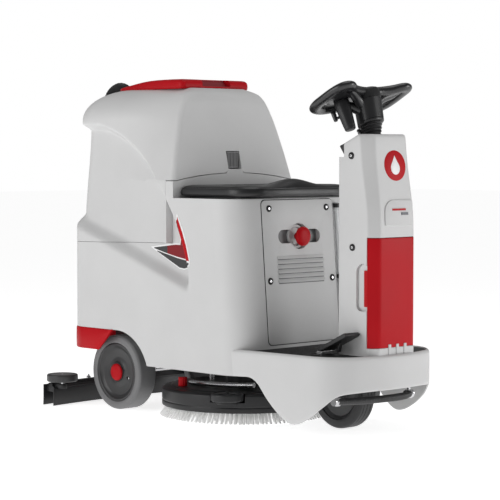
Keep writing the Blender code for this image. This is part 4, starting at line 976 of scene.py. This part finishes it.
def build_nameplate():
    """A raised plain plate with two colour strips and no lettering, on the upper front of the column."""
    outline = arc((0.066, 0.646), 0.006, -90, 0, 3) + arc((0.066, 0.712), 0.006, 0, 90, 3)
    outline += arc((-0.015, 0.678), 0.04, 90, 180, 10) + arc((-0.049, 0.646), 0.006, 180, 270, 3)

    def sheet(points, lift):
        def build(bm):
            rows = [[bm.verts.new((curve_through(COLUMN_FRONT, z) + d, y, z)) for y, z in points]
                    for d in (-0.003, lift)]
            bm.faces.new(rows[0])
            bm.faces.new(rows[1][::-1])
            for i in range(len(points)):
                j = (i + 1) % len(points)
                bm.faces.new((rows[0][i], rows[0][j], rows[1][j], rows[1][i]))
        return build

    add("nameplate", "panel", "chassis", sheet(outline, 0.0034), bevel=0.0012, segments=3)
    add("nameplate_red_strip", "red", "chassis",
        sheet([(-0.022, 0.686), (0.038, 0.686), (0.038, 0.692), (-0.022, 0.692)], 0.0038))
    add("nameplate_dark_strip", "slate", "chassis",
        sheet([(0.018, 0.672), (0.048, 0.672), (0.048, 0.68), (0.018, 0.68)], 0.0038))


def build_emblem():
    """A plain round badge with a drop on it."""
    z = 0.822
    lean = math.atan2(curve_through(COLUMN_FRONT, z - 0.03) - curve_through(COLUMN_FRONT, z + 0.03), 0.06)
    at = Matrix.Translation(Vector((curve_through(COLUMN_FRONT, z), 0.012, z))) @ Matrix.Rotation(-lean, 4,
                                                                                                  "Y")
    disc = [(0, 0.0012), (0.046, 0.0012), (0.0476, 0.0006), (0.048, -0.004), (0, -0.004)]
    add("emblem_disc", "red", "chassis", place(at, lathe(disc, (0, 0, 0), "X", 72)))
    drop = arc((0, -0.008), 0.02, -210, 30, 24) + [(0.0095, 0.014), (0, 0.031), (-0.0095, 0.014)]
    add("emblem_drop", "white", "chassis", place(at, slab(drop, 0.0004, 0.0018, "YZ")), bevel=0.0004,
        segments=2)


def build_console():
    at = Matrix.Translation(CONSOLE) @ Matrix.Rotation(-CONSOLE_TILT, 4, "Y")
    bezel = rounded_rectangle(-0.042, 0.036, -0.0945, 0.0945, 0.01, 5)
    wells = [lathe([(0, 0.02), (r, 0.02), (r, -0.02), (0, -0.02)], (x, y, 0), steps=28)
             for x, y, r in ((0, 0.056, 0.0092), (0, 0.082, 0.0092), (0, KEY_Y, 0.0114))]
    add("console_bezel", "black", "chassis", place(at, slab(bezel, -0.0008, 0.0012)),
        cuts=[place(at, well) for well in wells]
        + [place(at, lathe([(0, 0.02), (0.03, 0.02), (0.03, -0.02), (0, -0.02)], (-0.012, 0, 0),
                           steps=32))],
        bevel=0.0006, segments=2)
    wedge = [(0.531, 0.856), (0.5345, 0.856), (0.5345, 0.89), (0.515, 0.883), (0.5135, 0.88)]
    add("console_wedge", "black", "chassis", slab(wedge, -0.0985, 0.0985, "XZ"), bevel=0.0012)
    for name, y in (("brush", 0.056), ("suction", 0.082)):
        cap = [(0, 0.0062), (0.006, 0.006), (0.008, 0.0048), (0.0086, 0.003), (0.0086, -0.005), (0, -0.005)]
        add(name + "_push_button", "black", name + "_button", place(at, lathe(cap, (0, y, 0), steps=32)),
            stands_for=(name + "_button",))
        ring = [(0.0092, 0.001), (0.0092, 0.0026), (0.0106, 0.0026), (0.0112, 0.001)]
        add(name + "_button_ring", "steel", "chassis",
            place(at, lathe(ring, (0, y, 0), steps=32, closed=True)))
    barrel = [(0, 0.0105), (0.003, 0.0105), (0.0078, 0.0108), (0.01, 0.0092), (0.011, 0.006),
              (0.011, 0.0006), (0, 0.0006)]
    bow = arc((0, 0.026), 0.01, -60, 240, 18)
    bow_at = Matrix.Translation((0, KEY_Y, 0))
    add("key", "steel", "key_switch",
        place(at, lathe(barrel, (0, KEY_Y, 0), steps=32), place(bow_at, slab(bow, -0.0012, 0.0012, "YZ"))),
        stands_for=("key_switch",), bevel=0.0004, segments=2)
    window = rounded_rectangle(-0.01, 0.01, -0.09, -0.064, 0.003, 4)
    add("charge_display", "lens", "chassis", place(at, slab(window, 0.0004, 0.0022)), bevel=0.0005,
        segments=2)


build_column()
build_column_cover()
build_nameplate()
build_emblem()
build_console()


# ---- steering wheel, in its own tilted frame ----------------------------------------------------
POD = Vector((-0.01, -0.078, 0))
LEVER_TURN = math.radians(36)
STEER = Matrix.Translation(STEER_CENTRE) @ Matrix.Rotation(-STEER_TILT, 4, "Y")


RIM_HALF = [(0.041, 0.0), (0.046, 0.048), (0.06, 0.09), (0.078, 0.121), (0.071, 0.141), (0.044, 0.149),
            (0.0, 0.151), (-0.042, 0.147), (-0.073, 0.128), (-0.086, 0.088), (-0.072, 0.042), (-0.064, 0.0)]


def wing(points):
    """A closed flattened grip along the rim's line: wide over the sides, round at front and rear."""
    count, sides = len(points), 22

    def build(bm):
        rows = []
        for i, point in enumerate(points):
            along = (points[(i + 1) % count] - points[i - 1]).normalized()
            outward = along.cross(Vector((0, 0, 1))).normalized()
            grip = smooth((abs(point.y) - 0.07) / 0.06)
            wide, high = 0.0155 + 0.0045 * grip, 0.015 - 0.0015 * grip
            droop = -0.003 * grip * smooth((0.05 - point.x) / 0.08)
            rows.append([bm.verts.new(point + outward * (wide * math.cos(a))
                                      + Vector((0, 0, high * math.sin(a) + droop)))
                         for a in (2 * math.pi * k / sides for k in range(sides))])
        for first, second in zip(rows, rows[1:] + rows[:1]):
            for i in range(sides):
                j = (i + 1) % sides
                bm.faces.new((first[i], first[j], second[j], second[i]))
    return build


def build_wheel():
    loop = [(x, y, 0) for x, y in RIM_HALF] + [(x, -y, 0) for x, y in RIM_HALF[-2:0:-1]]
    add("steering_rim", "soft_black", "steering_wheel",
        place(STEER, wing(smooth_route(loop, 0.006, closed=True))), stands_for=("steering_wheel",), angle=70)
    levels = ((-0.0975, 0.009, 0.026), (-0.097, 0.009, 0.03), (-0.094, 0.0092, 0.0322),
              (-0.089, 0.0096, 0.0326), (-0.0882, 0.0098, 0.0314), (-0.0874, 0.01, 0.0328),
              (-0.06, 0.016, 0.0334), (-0.026, 0.024, 0.0342), (-0.025, 0.0242, 0.033),
              (-0.024, 0.0245, 0.0344), (0.0, 0.027, 0.0346), (0.007, 0.027, 0.032), (0.01, 0.027, 0.024))
    hub = []
    for z, centre, size in levels:
        half = size * 1.22
        ring = rounded_rectangle(centre - half, centre + half, -half, half, half * 0.86, 9)
        hub.append([(x, y, z) for x, y in ring])
    add("steering_hub", "black", "steering_wheel", place(STEER, skin(hub)), angle=50)
    plate = [(-0.038, -0.06), (-0.034, -0.128), (-0.02, -0.143), (0.05, -0.141), (0.071, -0.122),
             (0.058, -0.09), (0.044, -0.045)]
    plate += [(x, -y) for x, y in plate[::-1]]
    struts = [sweep(smooth_route(route, 0.008), lambda share: 0.0175 - 0.0045 * share, 18)
              for route in (((0.02, -0.026, -0.04), (0.036, -0.06, -0.016), (0.06, -0.106, -0.004)),
                            ((0.02, 0.026, -0.04), (0.03, 0.056, -0.018), (0.04, 0.11, -0.004)),
                            ((0.01, -0.026, -0.05), (-0.002, -0.052, -0.03), (-0.01, -0.072, -0.022)))]
    add("steering_spokes", "soft_black", "steering_wheel", place(STEER, slab(plate, -0.008, 0.004)),
        bevel=0.003)
    add("steering_ribs", "soft_black", "steering_wheel", place(STEER, *struts), angle=60)
    shaft = [(0, -0.092), (0.011, -0.092), (0.011, -0.209), (0, -0.209)]
    add("steering_shaft", "steel", "steering_wheel", place(STEER, lathe(shaft, (0, 0, 0), steps=28)))
    pod = rounded_profile([(0, -0.0088), (0.024, -0.0088), (0.0248, -0.016), (0.0232, -0.034),
                           (0.0208, -0.064), (0.0184, -0.093), (0.0176, -0.0945), (0.0178, -0.0975),
                           (0.0164, -0.105), (0, -0.105)],
                          0.003)
    add("direction_housing", "black", "steering_wheel", place(STEER, lathe(pod, (POD.x, POD.y, 0), steps=44)),
        stands_for=("direction_pod",), angle=50)
    grip = [(0, 0.018), (0.005, 0.0176), (0.0075, 0.015), (0.0076, 0.004), (0.0066, -0.01),
            (0.0066, -0.014), (0.005, -0.0178), (0, -0.018)]
    reach = Vector((-math.cos(LEVER_TURN), -math.sin(LEVER_TURN), 0))
    root, end = (Vector((POD.x, POD.y, -0.055)) + reach * distance for distance in (0.0215, 0.034))
    add("direction_grip", "soft_black", "direction_lever",
        place(STEER, lathe(grip, (end.x, end.y, -0.046), steps=24), sweep([root, end], 0.0045, 14)),
        stands_for=("direction_lever",), angle=50)
    rings, folds, steps = [], 5, 40
    base = Matrix.Translation((0.543, 0, 0.895)) @ Matrix.Rotation(-STEER_TILT, 4, "Y")
    for wall in (0.0, 0.004):
        layer = []
        for i in range(steps + 1):
            share = i / steps
            radius = 0.0372 - 0.004 * share + 0.0026 * math.cos(2 * math.pi * folds * share) - wall
            layer.append([base @ Vector((0.033 * share + radius * math.cos(a), radius * math.sin(a),
                                         0.044 * share))
                          for a in (2 * math.pi * k / 40 for k in range(40))])
        rings += layer[::-1] if wall else layer
    add("steering_bellows", "rubber", "chassis", skin(rings, loop=True), stands_for=("steering_boot",),
        angle=70)


build_wheel()


# ---- pedal ------------------------------------------------------------------------------------
def build_pedal():
    side = [(0.492, 0.258), (0.503, 0.2565), (0.606, 0.306), (0.61, 0.313), (0.602, 0.319), (0.493, 0.266)]
    strut = [(0.545, 0.2575), (0.556, 0.2575), (0.562, 0.29), (0.552, 0.285)]
    lean = math.atan2(0.319 - 0.266, 0.602 - 0.493)
    ribs = []
    for i in range(9):
        share = 0.12 + 0.095 * i
        at = Matrix.Translation(Vector((0.493 + 0.109 * share, -0.14,
                                        0.266 + 0.053 * share))) @ Matrix.Rotation(-lean, 4, "Y")
        ribs.append(place(at, block((-0.002, -0.027, -0.001), (0.002, 0.027, 0.0018))))
    add("pedal_plate", "black", "accelerator_pedal", slab(side, -0.172, -0.108, "XZ"),
        slab(strut, -0.146, -0.134, "XZ"), stands_for=("accelerator_pedal",), bevel=0.0018)
    add("pedal_ribs", "rubber", "accelerator_pedal", *ribs, bevel=0.0006, segments=2)


build_pedal()


# ---- wheels -----------------------------------------------------------------------------------
def build_rear_wheel(name, side):
    axis = "Y" if side > 0 else "-Y"
    centre = Vector((REAR_WHEEL.x, side * REAR_WHEEL.y, REAR_WHEEL.z))
    body = "rear_wheel_" + name
    tyre = rounded_profile([(0.0985, 0.0), (0.0985, 0.0365), (0.108, 0.0385), (0.119, 0.0375),
                            (0.125, 0.031), (0.125, -0.031), (0.119, -0.0375), (0.108, -0.0385),
                            (0.0985, -0.0365), (0.0985, 0.0)],
                           0.003)
    add("tyre_face_" + name, "tread", body, lathe(tyre[:-1], centre, axis, 96, closed=True),
        stands_for=("tyre_" + name,), angle=60)
    rim = rounded_profile([(0.0106, 0.03), (0.032, 0.03), (0.036, 0.0255), (0.05, 0.0225), (0.078, 0.0245),
                           (0.086, 0.03), (0.0905, 0.035), (0.0982, 0.035), (0.0982, -0.034),
                           (0.088, -0.026), (0.03, -0.026), (0.0106, -0.03), (0.0106, 0.03)], 0.0025)
    at = Matrix.Translation(centre) @ TURN[axis]
    hole = place(at, lathe([(0, 0.05), (0.0062, 0.05), (0.0062, 0.01), (0, 0.01)], (0.046, -0.018, 0),
                           steps=24))
    add("rim_face_" + name, "dark", body, lathe(rim[:-1], centre, axis, 96, closed=True),
        stands_for=("rim_" + name,), cuts=[hole], angle=40)
    add("rim_plug_" + name, "steel", body,
        place(at, lathe([(0, 0.0205), (0.0035, 0.0205), (0.0058, 0.019), (0.0058, 0.012), (0, 0.012)],
                        (0.046, -0.018, 0), steps=24)))
    cap = [(0, 0.0412), (0.008, 0.041), (0.016, 0.0404), (0.0225, 0.0392), (0.027, 0.037),
           (0.0285, 0.0345), (0.0285, 0.0302), (0, 0.0302)]
    add("hub_cap_" + name, "red", body, lathe(cap, centre, axis, 64), stands_for=("wheel_cap_" + name,),
        angle=50)
    ring = [(0.0292, 0.03), (0.0292, 0.0322), (0.0318, 0.0322), (0.0325, 0.03)]
    add("hub_ring_" + name, "black", body, lathe(ring, centre, axis, 64, closed=True))


def build_drive_wheel():
    tyre = rounded_profile([(0.0765, 0.0), (0.0765, 0.034), (0.09, 0.035), (0.1, 0.033), (0.105, 0.025),
                            (0.105, -0.025), (0.1, -0.033), (0.09, -0.035), (0.0765, -0.034),
                            (0.0765, 0.0)],
                           0.003)
    grooves = [lathe([(0.11, y + 0.0014), (0.1025, y + 0.0008), (0.1025, y - 0.0008), (0.11, y - 0.0014)],
                     DRIVE_WHEEL, "Y", 72, closed=True) for y in (-0.015, 0.0, 0.015)]
    add("drive_tyre_tread", "rubber", "drive_wheel", lathe(tyre[:-1], DRIVE_WHEEL, "Y", 96, closed=True),
        stands_for=("drive_tyre",), cuts=grooves, angle=50)
    hub = rounded_profile([(0.0104, 0.0), (0.0104, 0.036), (0.026, 0.036), (0.032, 0.02), (0.066, 0.02),
                           (0.0761, 0.03), (0.0761, -0.03), (0.066, -0.02), (0.032, -0.02),
                           (0.026, -0.036), (0.0104, -0.036), (0.0104, 0.0)], 0.002)
    add("drive_wheel_hub", "dark", "drive_wheel", lathe(hub[:-1], DRIVE_WHEEL, "Y", 72, closed=True),
        stands_for=("drive_hub",), angle=40)
    motor = rounded_profile([(0, 0.084), (0.03, 0.084), (0.04, 0.08), (0.042, 0.072), (0.042, 0.0),
                             (0, 0)], 0.003)
    at = Vector((DRIVE_WHEEL.x, 0.0465, DRIVE_WHEEL.z))
    fins = [lathe([(0.04, y + 0.0014), (0.044, y + 0.001), (0.044, y - 0.001), (0.04, y - 0.0014)], at,
                  "Y", 48, closed=True) for y in (0.012, 0.022, 0.032, 0.042, 0.052)]
    add("drive_motor_can", "frame", "drive_fork", lathe(motor, at, "Y", 48), *fins,
        stands_for=("traction_motor",), angle=40)


build_rear_wheel("right", -1)
build_rear_wheel("left", 1)
build_drive_wheel()


# ---- hose under the bumper ----------------------------------------------------------------------
def build_front_hose():
    path = [(0.565, -0.155, 0.107), (0.598, -0.09, 0.107), (0.612, 0, 0.107), (0.605, 0.09, 0.106),
            (0.575, 0.155, 0.105)]
    add("drain_hose", "dark", "chassis", corrugated(path, 0.0115, 0.006, 0.0022, 18),
        stands_for=("front_hose",), angle=80)
    fittings = []
    for x, y, z in ((0.56, -0.1585, 0.107), (0.571, 0.1585, 0.105)):
        nut = rounded_profile([(0, 0.01), (0.0115, 0.01), (0.0155, 0.007), (0.0155, -0.007),
                               (0.0115, -0.01), (0, -0.01)],
                              0.0012)
        fittings.append(lathe(nut, (x, y, z), "Y", 6))
        fittings.append(lathe([(0, 0.014), (0.0125, 0.014), (0.0125, -0.014), (0, -0.014)], (x, y, z), "Y",
                              32))
        fittings.append(lathe([(0, 0.234 - z), (0.0058, 0.234 - z), (0.0058, 0.008), (0, 0.008)],
                              (x, y, z), steps=20))
    add("drain_hose_fittings", "steel", "chassis", *fittings)


build_front_hose()


# ---- brush deck -------------------------------------------------------------------------------
def build_deck():
    shell = rounded_profile([(0.028, 0.095), (0.028, 0.1), (0.236, 0.1), (0.24, 0.0965), (0.26, 0.095),
                             (0.27, 0.09), (0.27, 0.056), (0.268, 0.053), (0.27, 0.05), (0.27, 0.0345),
                             (0.2635, 0.0345), (0.262, 0.09), (0.028, 0.09), (0.028, 0.095)], 0.003)
    notch = lathe([(0, 0.0315), (0.057, 0.0315), (0.057, -0.0315), (0, -0.0315)], (ROLLER.x, ROLLER.y, 0.1))
    add("deck_shell", "black", "brush_deck", lathe(shell[:-1], BRUSH, steps=128, closed=True), cuts=[notch],
        stands_for=("brush_cover",), angle=40)
    shelf = rounded_profile([(0, 0.0746), (0.035, 0.0746), (0.035, 0.066), (0, 0.066)], 0.002)
    add("deck_roller_shelf", "black", "brush_deck", lathe(shelf, (ROLLER.x, ROLLER.y, 0), steps=48),
        lathe([(0, 0.104), (0.0052, 0.104), (0.006, 0.102), (0.006, 0.07), (0, 0.07)],
              (ROLLER.x, ROLLER.y, 0), steps=24))
    tyre = rounded_profile([(0.0065, 0.0), (0.0065, 0.0125), (0.03, 0.0125), (0.032, 0.0105),
                            (0.044, 0.0105), (0.046, 0.0125), (0.0505, 0.0125), (0.053, 0.0085),
                            (0.053, -0.0085), (0.0505, -0.0125), (0.0065, -0.0125), (0.0065, 0.0)], 0.0015)
    add("deck_guard_roller", "black", "deck_roller", lathe(tyre[:-1], ROLLER, steps=64, closed=True),
        stands_for=("deck_roller",), angle=40)
    knob = []
    for i in range(36):
        angle = 2 * math.pi * i / 36
        reach = 0.0146 if i % 3 else 0.0128
        knob.append((-0.095 + reach * math.cos(angle), -0.198 + reach * math.sin(angle)))
    add("deck_knob_grip", "red", "deck_knob", slab(knob, 0.1006, 0.13), stands_for=("deck_knob",),
        bevel=0.0012, segments=2)
    bar = smooth_route([(-0.11, -0.15, 0.109), (-0.03, -0.157, 0.111), (0.08, -0.16, 0.1165),
                        (0.19, -0.15, 0.124)],
                       0.01)
    add("deck_guide_bar", "steel", "brush_deck", sweep(bar, 0.008, 20), stands_for=("deck_bar",))
    motor = rounded_profile([(0, 0.215), (0.036, 0.215), (0.046, 0.205), (0.05, 0.15), (0.056, 0.14),
                             (0.056, 0.1004), (0.012, 0.1004), (0.012, 0.051), (0, 0.051)], 0.003)
    add("brush_motor_can", "frame", "brush_deck", lathe(motor, BRUSH, steps=56), stands_for=("brush_motor",),
        angle=40)
    disc = rounded_profile([(0.0126, 0.06), (0.0126, 0.0645), (0.243, 0.0645), (0.248, 0.06),
                            (0.248, 0.0504), (0.0126, 0.0504), (0.0126, 0.06)], 0.002)
    add("brush_back", "black", "brush", lathe(disc[:-1], BRUSH, steps=96, closed=True),
        stands_for=("brush_disc",), angle=40)


def build_bristles():
    """Rings of tufts set in the disc, each splaying outwards to the floor."""
    random.seed(7)
    rows = ((0.244, 0.274, 116), (0.236, 0.2655, 104), (0.225, 0.253, 70), (0.208, 0.23, 60),
            (0.19, 0.205, 56), (0.172, 0.176, 50), (0.156, 0.146, 44))
    sides = 6

    def tufts(bm):
        for top_radius, foot_radius, count in rows:
            for i in range(count):
                angle = 2 * math.pi * (i + 0.5 * (count % 4 > 0)) / count + random.uniform(-0.003, 0.003)
                lean = random.uniform(-0.006, 0.006)
                rings = []
                for share in (0.0, 0.5, 1.0):
                    radius = top_radius + (foot_radius - top_radius) * share ** 1.4
                    turn = angle + lean * share
                    centre = Vector((BRUSH.x + radius * math.cos(turn), radius * math.sin(turn),
                                     0.0508 - 0.0502 * share))
                    size = 0.0024 + 0.001 * share
                    rings.append([bm.verts.new(centre + Vector((math.cos(a), math.sin(a), 0)) * size)
                                  for a in (2 * math.pi * k / sides for k in range(sides))])
                for upper, lower in zip(rings, rings[1:]):
                    for k in range(sides):
                        j = (k + 1) % sides
                        bm.faces.new((upper[k], lower[k], lower[j], upper[j]))
                bm.faces.new(rings[0])
                bm.faces.new(rings[-1][::-1])
    add("bristle_tufts", "bristle", "brush", tufts, stands_for=("brush_bristles",), angle=60)


build_deck()
build_bristles()


# ---- squeegee ---------------------------------------------------------------------------------
def squeegee_x(y):
    return -0.6475 + 0.025 * (y / 0.335) ** 2


def squeegee_bar(half_length, section, steps=40):
    """A closed (offset, z) section carried along the bowed line."""
    rings = []
    for i in range(steps + 1):
        y = half_length * (2 * i / steps - 1)
        rings.append([(squeegee_x(y) + d, y, z) for d, z in section])
    return skin(rings)


def build_squeegee():
    shell = [(-0.022, 0.048), (-0.0205, 0.046), (0.0205, 0.046), (0.022, 0.048), (0.022, 0.06),
             (0.019, 0.064), (0.012, 0.0665), (0.01, 0.0745), (0.0085, 0.076), (-0.0085, 0.076),
             (-0.01, 0.0745), (-0.012, 0.0665), (-0.019, 0.064), (-0.022, 0.06)]
    arms, posts, nuts = [], [], []
    for side in (-1, 1):
        y = side * GUARD_ROLLER.y
        arm = rounded_rectangle(-0.64, -0.57, y - 0.015, y + 0.015, 0.014, 6)
        arms.append(slab(arm, 0.058, 0.0735))
        posts.append(lathe([(0, 0.109), (0.0045, 0.109), (0.006, 0.107), (0.006, 0.065), (0, 0.065)],
                           (GUARD_ROLLER.x, y, 0), steps=24))
    for y in (-0.255, -0.15, 0.15, 0.255):
        x = squeegee_x(y)
        nuts.append(lathe([(0, 0.09), (0.003, 0.09), (0.003, 0.084), (0.0066, 0.084), (0.0072, 0.083),
                           (0.0072, 0.0768), (0, 0.0768)], (x, y, 0), steps=6))
    add("squeegee_shell", "black", "squeegee", squeegee_bar(0.335, shell), *arms,
        stands_for=("squeegee_body",), bevel=0.0012, segments=2)
    add("squeegee_roller_posts", "steel", "squeegee", *posts)
    add("squeegee_wing_nuts", "steel", "squeegee", *nuts)
    strip = [(-0.0262, 0.07), (-0.0228, 0.07), (-0.0228, 0.03), (-0.024, 0.0), (-0.0274, 0.0),
             (-0.0262, 0.03)]
    add("squeegee_blade_back", "rubber", "squeegee", squeegee_bar(0.345, strip[::-1]),
        stands_for=("squeegee_blade_rear",), bevel=0.0004, segments=2)
    strip = [(0.0226, 0.0555), (0.0256, 0.0555), (0.0256, 0.0), (0.0226, 0.0)]
    add("squeegee_blade_fore", "rubber", "squeegee", squeegee_bar(0.34, strip),
        stands_for=("squeegee_blade_front",), bevel=0.0004, segments=2)
    clamp = [(-0.03, 0.052), (-0.0268, 0.052), (-0.0268, 0.066), (-0.03, 0.066)]
    add("squeegee_clamp_strip", "steel", "squeegee", squeegee_bar(0.333, clamp), bevel=0.0006, segments=2)
    for side, name in ((-1, "right"), (1, "left")):
        place_at = Vector((GUARD_ROLLER.x, side * GUARD_ROLLER.y, GUARD_ROLLER.z))
        body = "squeegee_roller_" + name
        tyre = rounded_profile([(0.0065, 0.0), (0.0065, 0.011), (0.04, 0.011), (0.042, 0.0125),
                                (0.05, 0.0125), (0.053, 0.009), (0.053, -0.009), (0.05, -0.0125),
                                (0.0065, -0.0125), (0.0065, 0.0)],
                               0.0015)
        add("guard_roller_" + name, "dark", body, lathe(tyre[:-1], place_at, steps=64, closed=True),
            stands_for=(body,), angle=40)
        top = rounded_profile([(0.0068, 0.0105), (0.0068, 0.0128), (0.036, 0.0128), (0.0385, 0.0105)],
                              0.0008)
        add("guard_roller_disc_" + name, "tread", body, lathe(top, place_at, steps=64, closed=True), angle=40)
    nozzle = rounded_profile([(0.0182, 0.1), (0.0182, 0.136), (0.022, 0.136), (0.0225, 0.1095),
                              (0.03, 0.1088), (0.03, 0.1046), (0.024, 0.1044), (0.024, 0.084),
                              (0.0225, 0.0766), (0.0182, 0.0766), (0.0182, 0.1)], 0.0012)
    add("nozzle_elbow", "black", "squeegee", lathe(nozzle[:-1], (NOZZLE_X, 0, 0), steps=48, closed=True),
        stands_for=("suction_nozzle",), angle=40)


build_squeegee()


# ---- side badge: colour shapes that follow the skin, without lettering --------------------------
def film(lower, upper, lift, steps=8, rows=30):
    """A thin film on the right side's skin, between two side-view chains of as many points."""
    def build(bm):
        shares = [i / steps for i in range(len(lower) * steps - steps + 1)]
        grids = []
        for height in (lift, -0.0006):
            grid = []
            for share in shares:
                first = min(int(share), len(lower) - 2)
                low, high = (Vector(chain[first]).lerp(Vector(chain[first + 1]), share - first)
                             for chain in (lower, upper))
                points = [low.lerp(high, j / rows) for j in range(rows + 1)]
                grid.append([bm.verts.new((x, skin_y(x, z) - height, z)) for x, z in points])
            grids.append(grid)
        outside, inside = grids
        for i in range(len(shares) - 1):
            for j in range(rows):
                bm.faces.new((outside[i][j], outside[i + 1][j], outside[i + 1][j + 1], outside[i][j + 1]))
                bm.faces.new((inside[i][j], inside[i][j + 1], inside[i + 1][j + 1], inside[i + 1][j]))
            for j in (0, rows):
                bm.faces.new((outside[i][j], outside[i + 1][j], inside[i + 1][j], inside[i][j]))
        for i in (0, len(shares) - 1):
            for j in range(rows):
                bm.faces.new((outside[i][j], outside[i][j + 1], inside[i][j + 1], inside[i][j]))
    return build


def build_badge():
    """A dart-shaped badge below the tank's front corner: dark at its tail, red along its front edge."""
    add("badge_border", "white", "chassis",
        film([(-0.1962, 0.553), (-0.0566, 0.4877), (-0.0325, 0.4855), (0.023, 0.5011), (0.0264, 0.5203)],
             [(-0.1962, 0.5546), (-0.0777, 0.569), (-0.04, 0.569), (0.0, 0.569), (0.0122, 0.568)], 0.0005),
        film([(-0.056, 0.5675), (-0.045, 0.615), (-0.0362, 0.666)],
             [(0.0122, 0.5675), (-0.0067, 0.6149), (-0.035, 0.667)], 0.0006))
    add("badge_tail", "dark", "chassis",
        film([(-0.18, 0.5495), (-0.115, 0.535)], [(-0.18, 0.5525), (-0.115, 0.56)], 0.0011),
        film([(-0.165, 0.54), (-0.056, 0.4915), (-0.033, 0.4893), (0.019, 0.503)],
             [(-0.166, 0.5425), (-0.07, 0.5222), (-0.04, 0.5175), (0.0205, 0.5105)], 0.0011))
    add("badge_middle", "deep_red", "chassis", film([(-0.115, 0.535), (-0.07, 0.5262), (-0.01, 0.5175)],
             [(-0.115, 0.56), (-0.076, 0.5645), (-0.015, 0.565)], 0.0011),
        film([(-0.052, 0.565), (-0.0375, 0.648)], [(-0.015, 0.565), (-0.033, 0.64)], 0.0011))
    add("badge_edge", "red", "chassis",
        film([(-0.01, 0.5175), (-0.015, 0.565), (-0.024, 0.605), (-0.0345, 0.644)],
             [(0.0215, 0.517), (0.0075, 0.565), (-0.011, 0.609), (-0.0338, 0.656)], 0.0013))


build_badge()


# ---- kept CAD nodes get their finish -------------------------------------------------------------
KEPT = {"solution_tank": "poly", "suction_motor": "black", "battery_pack": "dark", "chassis_frame": "frame",
        "rear_axle": "steel", "lift_actuator": "steel", "pedal_bracket": "steel", "tank_seal": "rubber",
        "drive_fork": "frame", "lift_rod": "steel", "squeegee_arm": "steel"}
for node_name, look in KEPT.items():
    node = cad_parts[node_name]
    node.data.materials.clear()
    node.data.materials.append(LOOKS[look][0])


# ---- studio -----------------------------------------------------------------------------------
def build_studio():
    """A pale floor, one broad soft light from the left, and a background that fades to white."""
    floor_finish = finish("studio_floor", (0.86, 0.86, 0.86), 0.6, tint=0.01, grain=200, bump=0.02,
                          specular=0.2, glow=0.76)
    floor = raw_object("studio_floor", [block((-30, -30, -0.02), (30, 30, -0.0004))])
    floor.data.materials.append(floor_finish)
    world = bpy.data.worlds.new("studio")
    bpy.context.scene.world = world
    world.use_nodes = True
    nodes, links = world.node_tree.nodes, world.node_tree.links
    background = nodes["Background"]
    background.inputs["Color"].default_value = (1, 1, 1, 1)
    rays = nodes.new("ShaderNodeLightPath")
    level = nodes.new("ShaderNodeMapRange")
    level.inputs["To Min"].default_value = 0.24
    level.inputs["To Max"].default_value = 1.0
    links.new(rays.outputs["Is Camera Ray"], level.inputs["Value"])
    links.new(level.outputs["Result"], background.inputs["Strength"])

    def lamp(name, location, target, size, watts):
        light = bpy.data.lights.new(name, "AREA")
        light.shape = "RECTANGLE"
        light.size, light.size_y = size
        light.energy = watts
        obj = bpy.data.objects.new(name, light)
        bpy.context.scene.collection.objects.link(obj)
        obj.location = location
        obj.rotation_euler = (Vector(target) - Vector(location)).to_track_quat("-Z", "Y").to_euler()

    lamp("side", (-0.9, -3.6, 1.6), (0, 0, 0.55), (2.6, 2.2), 55)
    lamp("front", (3.0, 2.2, 1.0), (0.6, 0, 0.6), (1.2, 1.6), 34)
    lamp("top", (0.4, 0.4, 3.6), (0, 0, 0.4), (2.6, 2.0), 26)


def build_camera():
    data = bpy.data.cameras.new("camera")
    data.sensor_width = 36.0
    data.lens = 136.8
    camera = bpy.data.objects.new("camera", data)
    bpy.context.scene.collection.objects.link(camera)
    camera.location = (4.514, -4.314, 0.86)
    camera.rotation_euler = (math.radians(90 - 2.92), 0, math.radians(46.2))
    data.clip_end = 200
    bpy.context.scene.camera = camera


build_studio()
build_camera()
bpy.context.scene.view_settings.view_transform = "Standard"
bpy.context.scene.view_settings.look = "None"
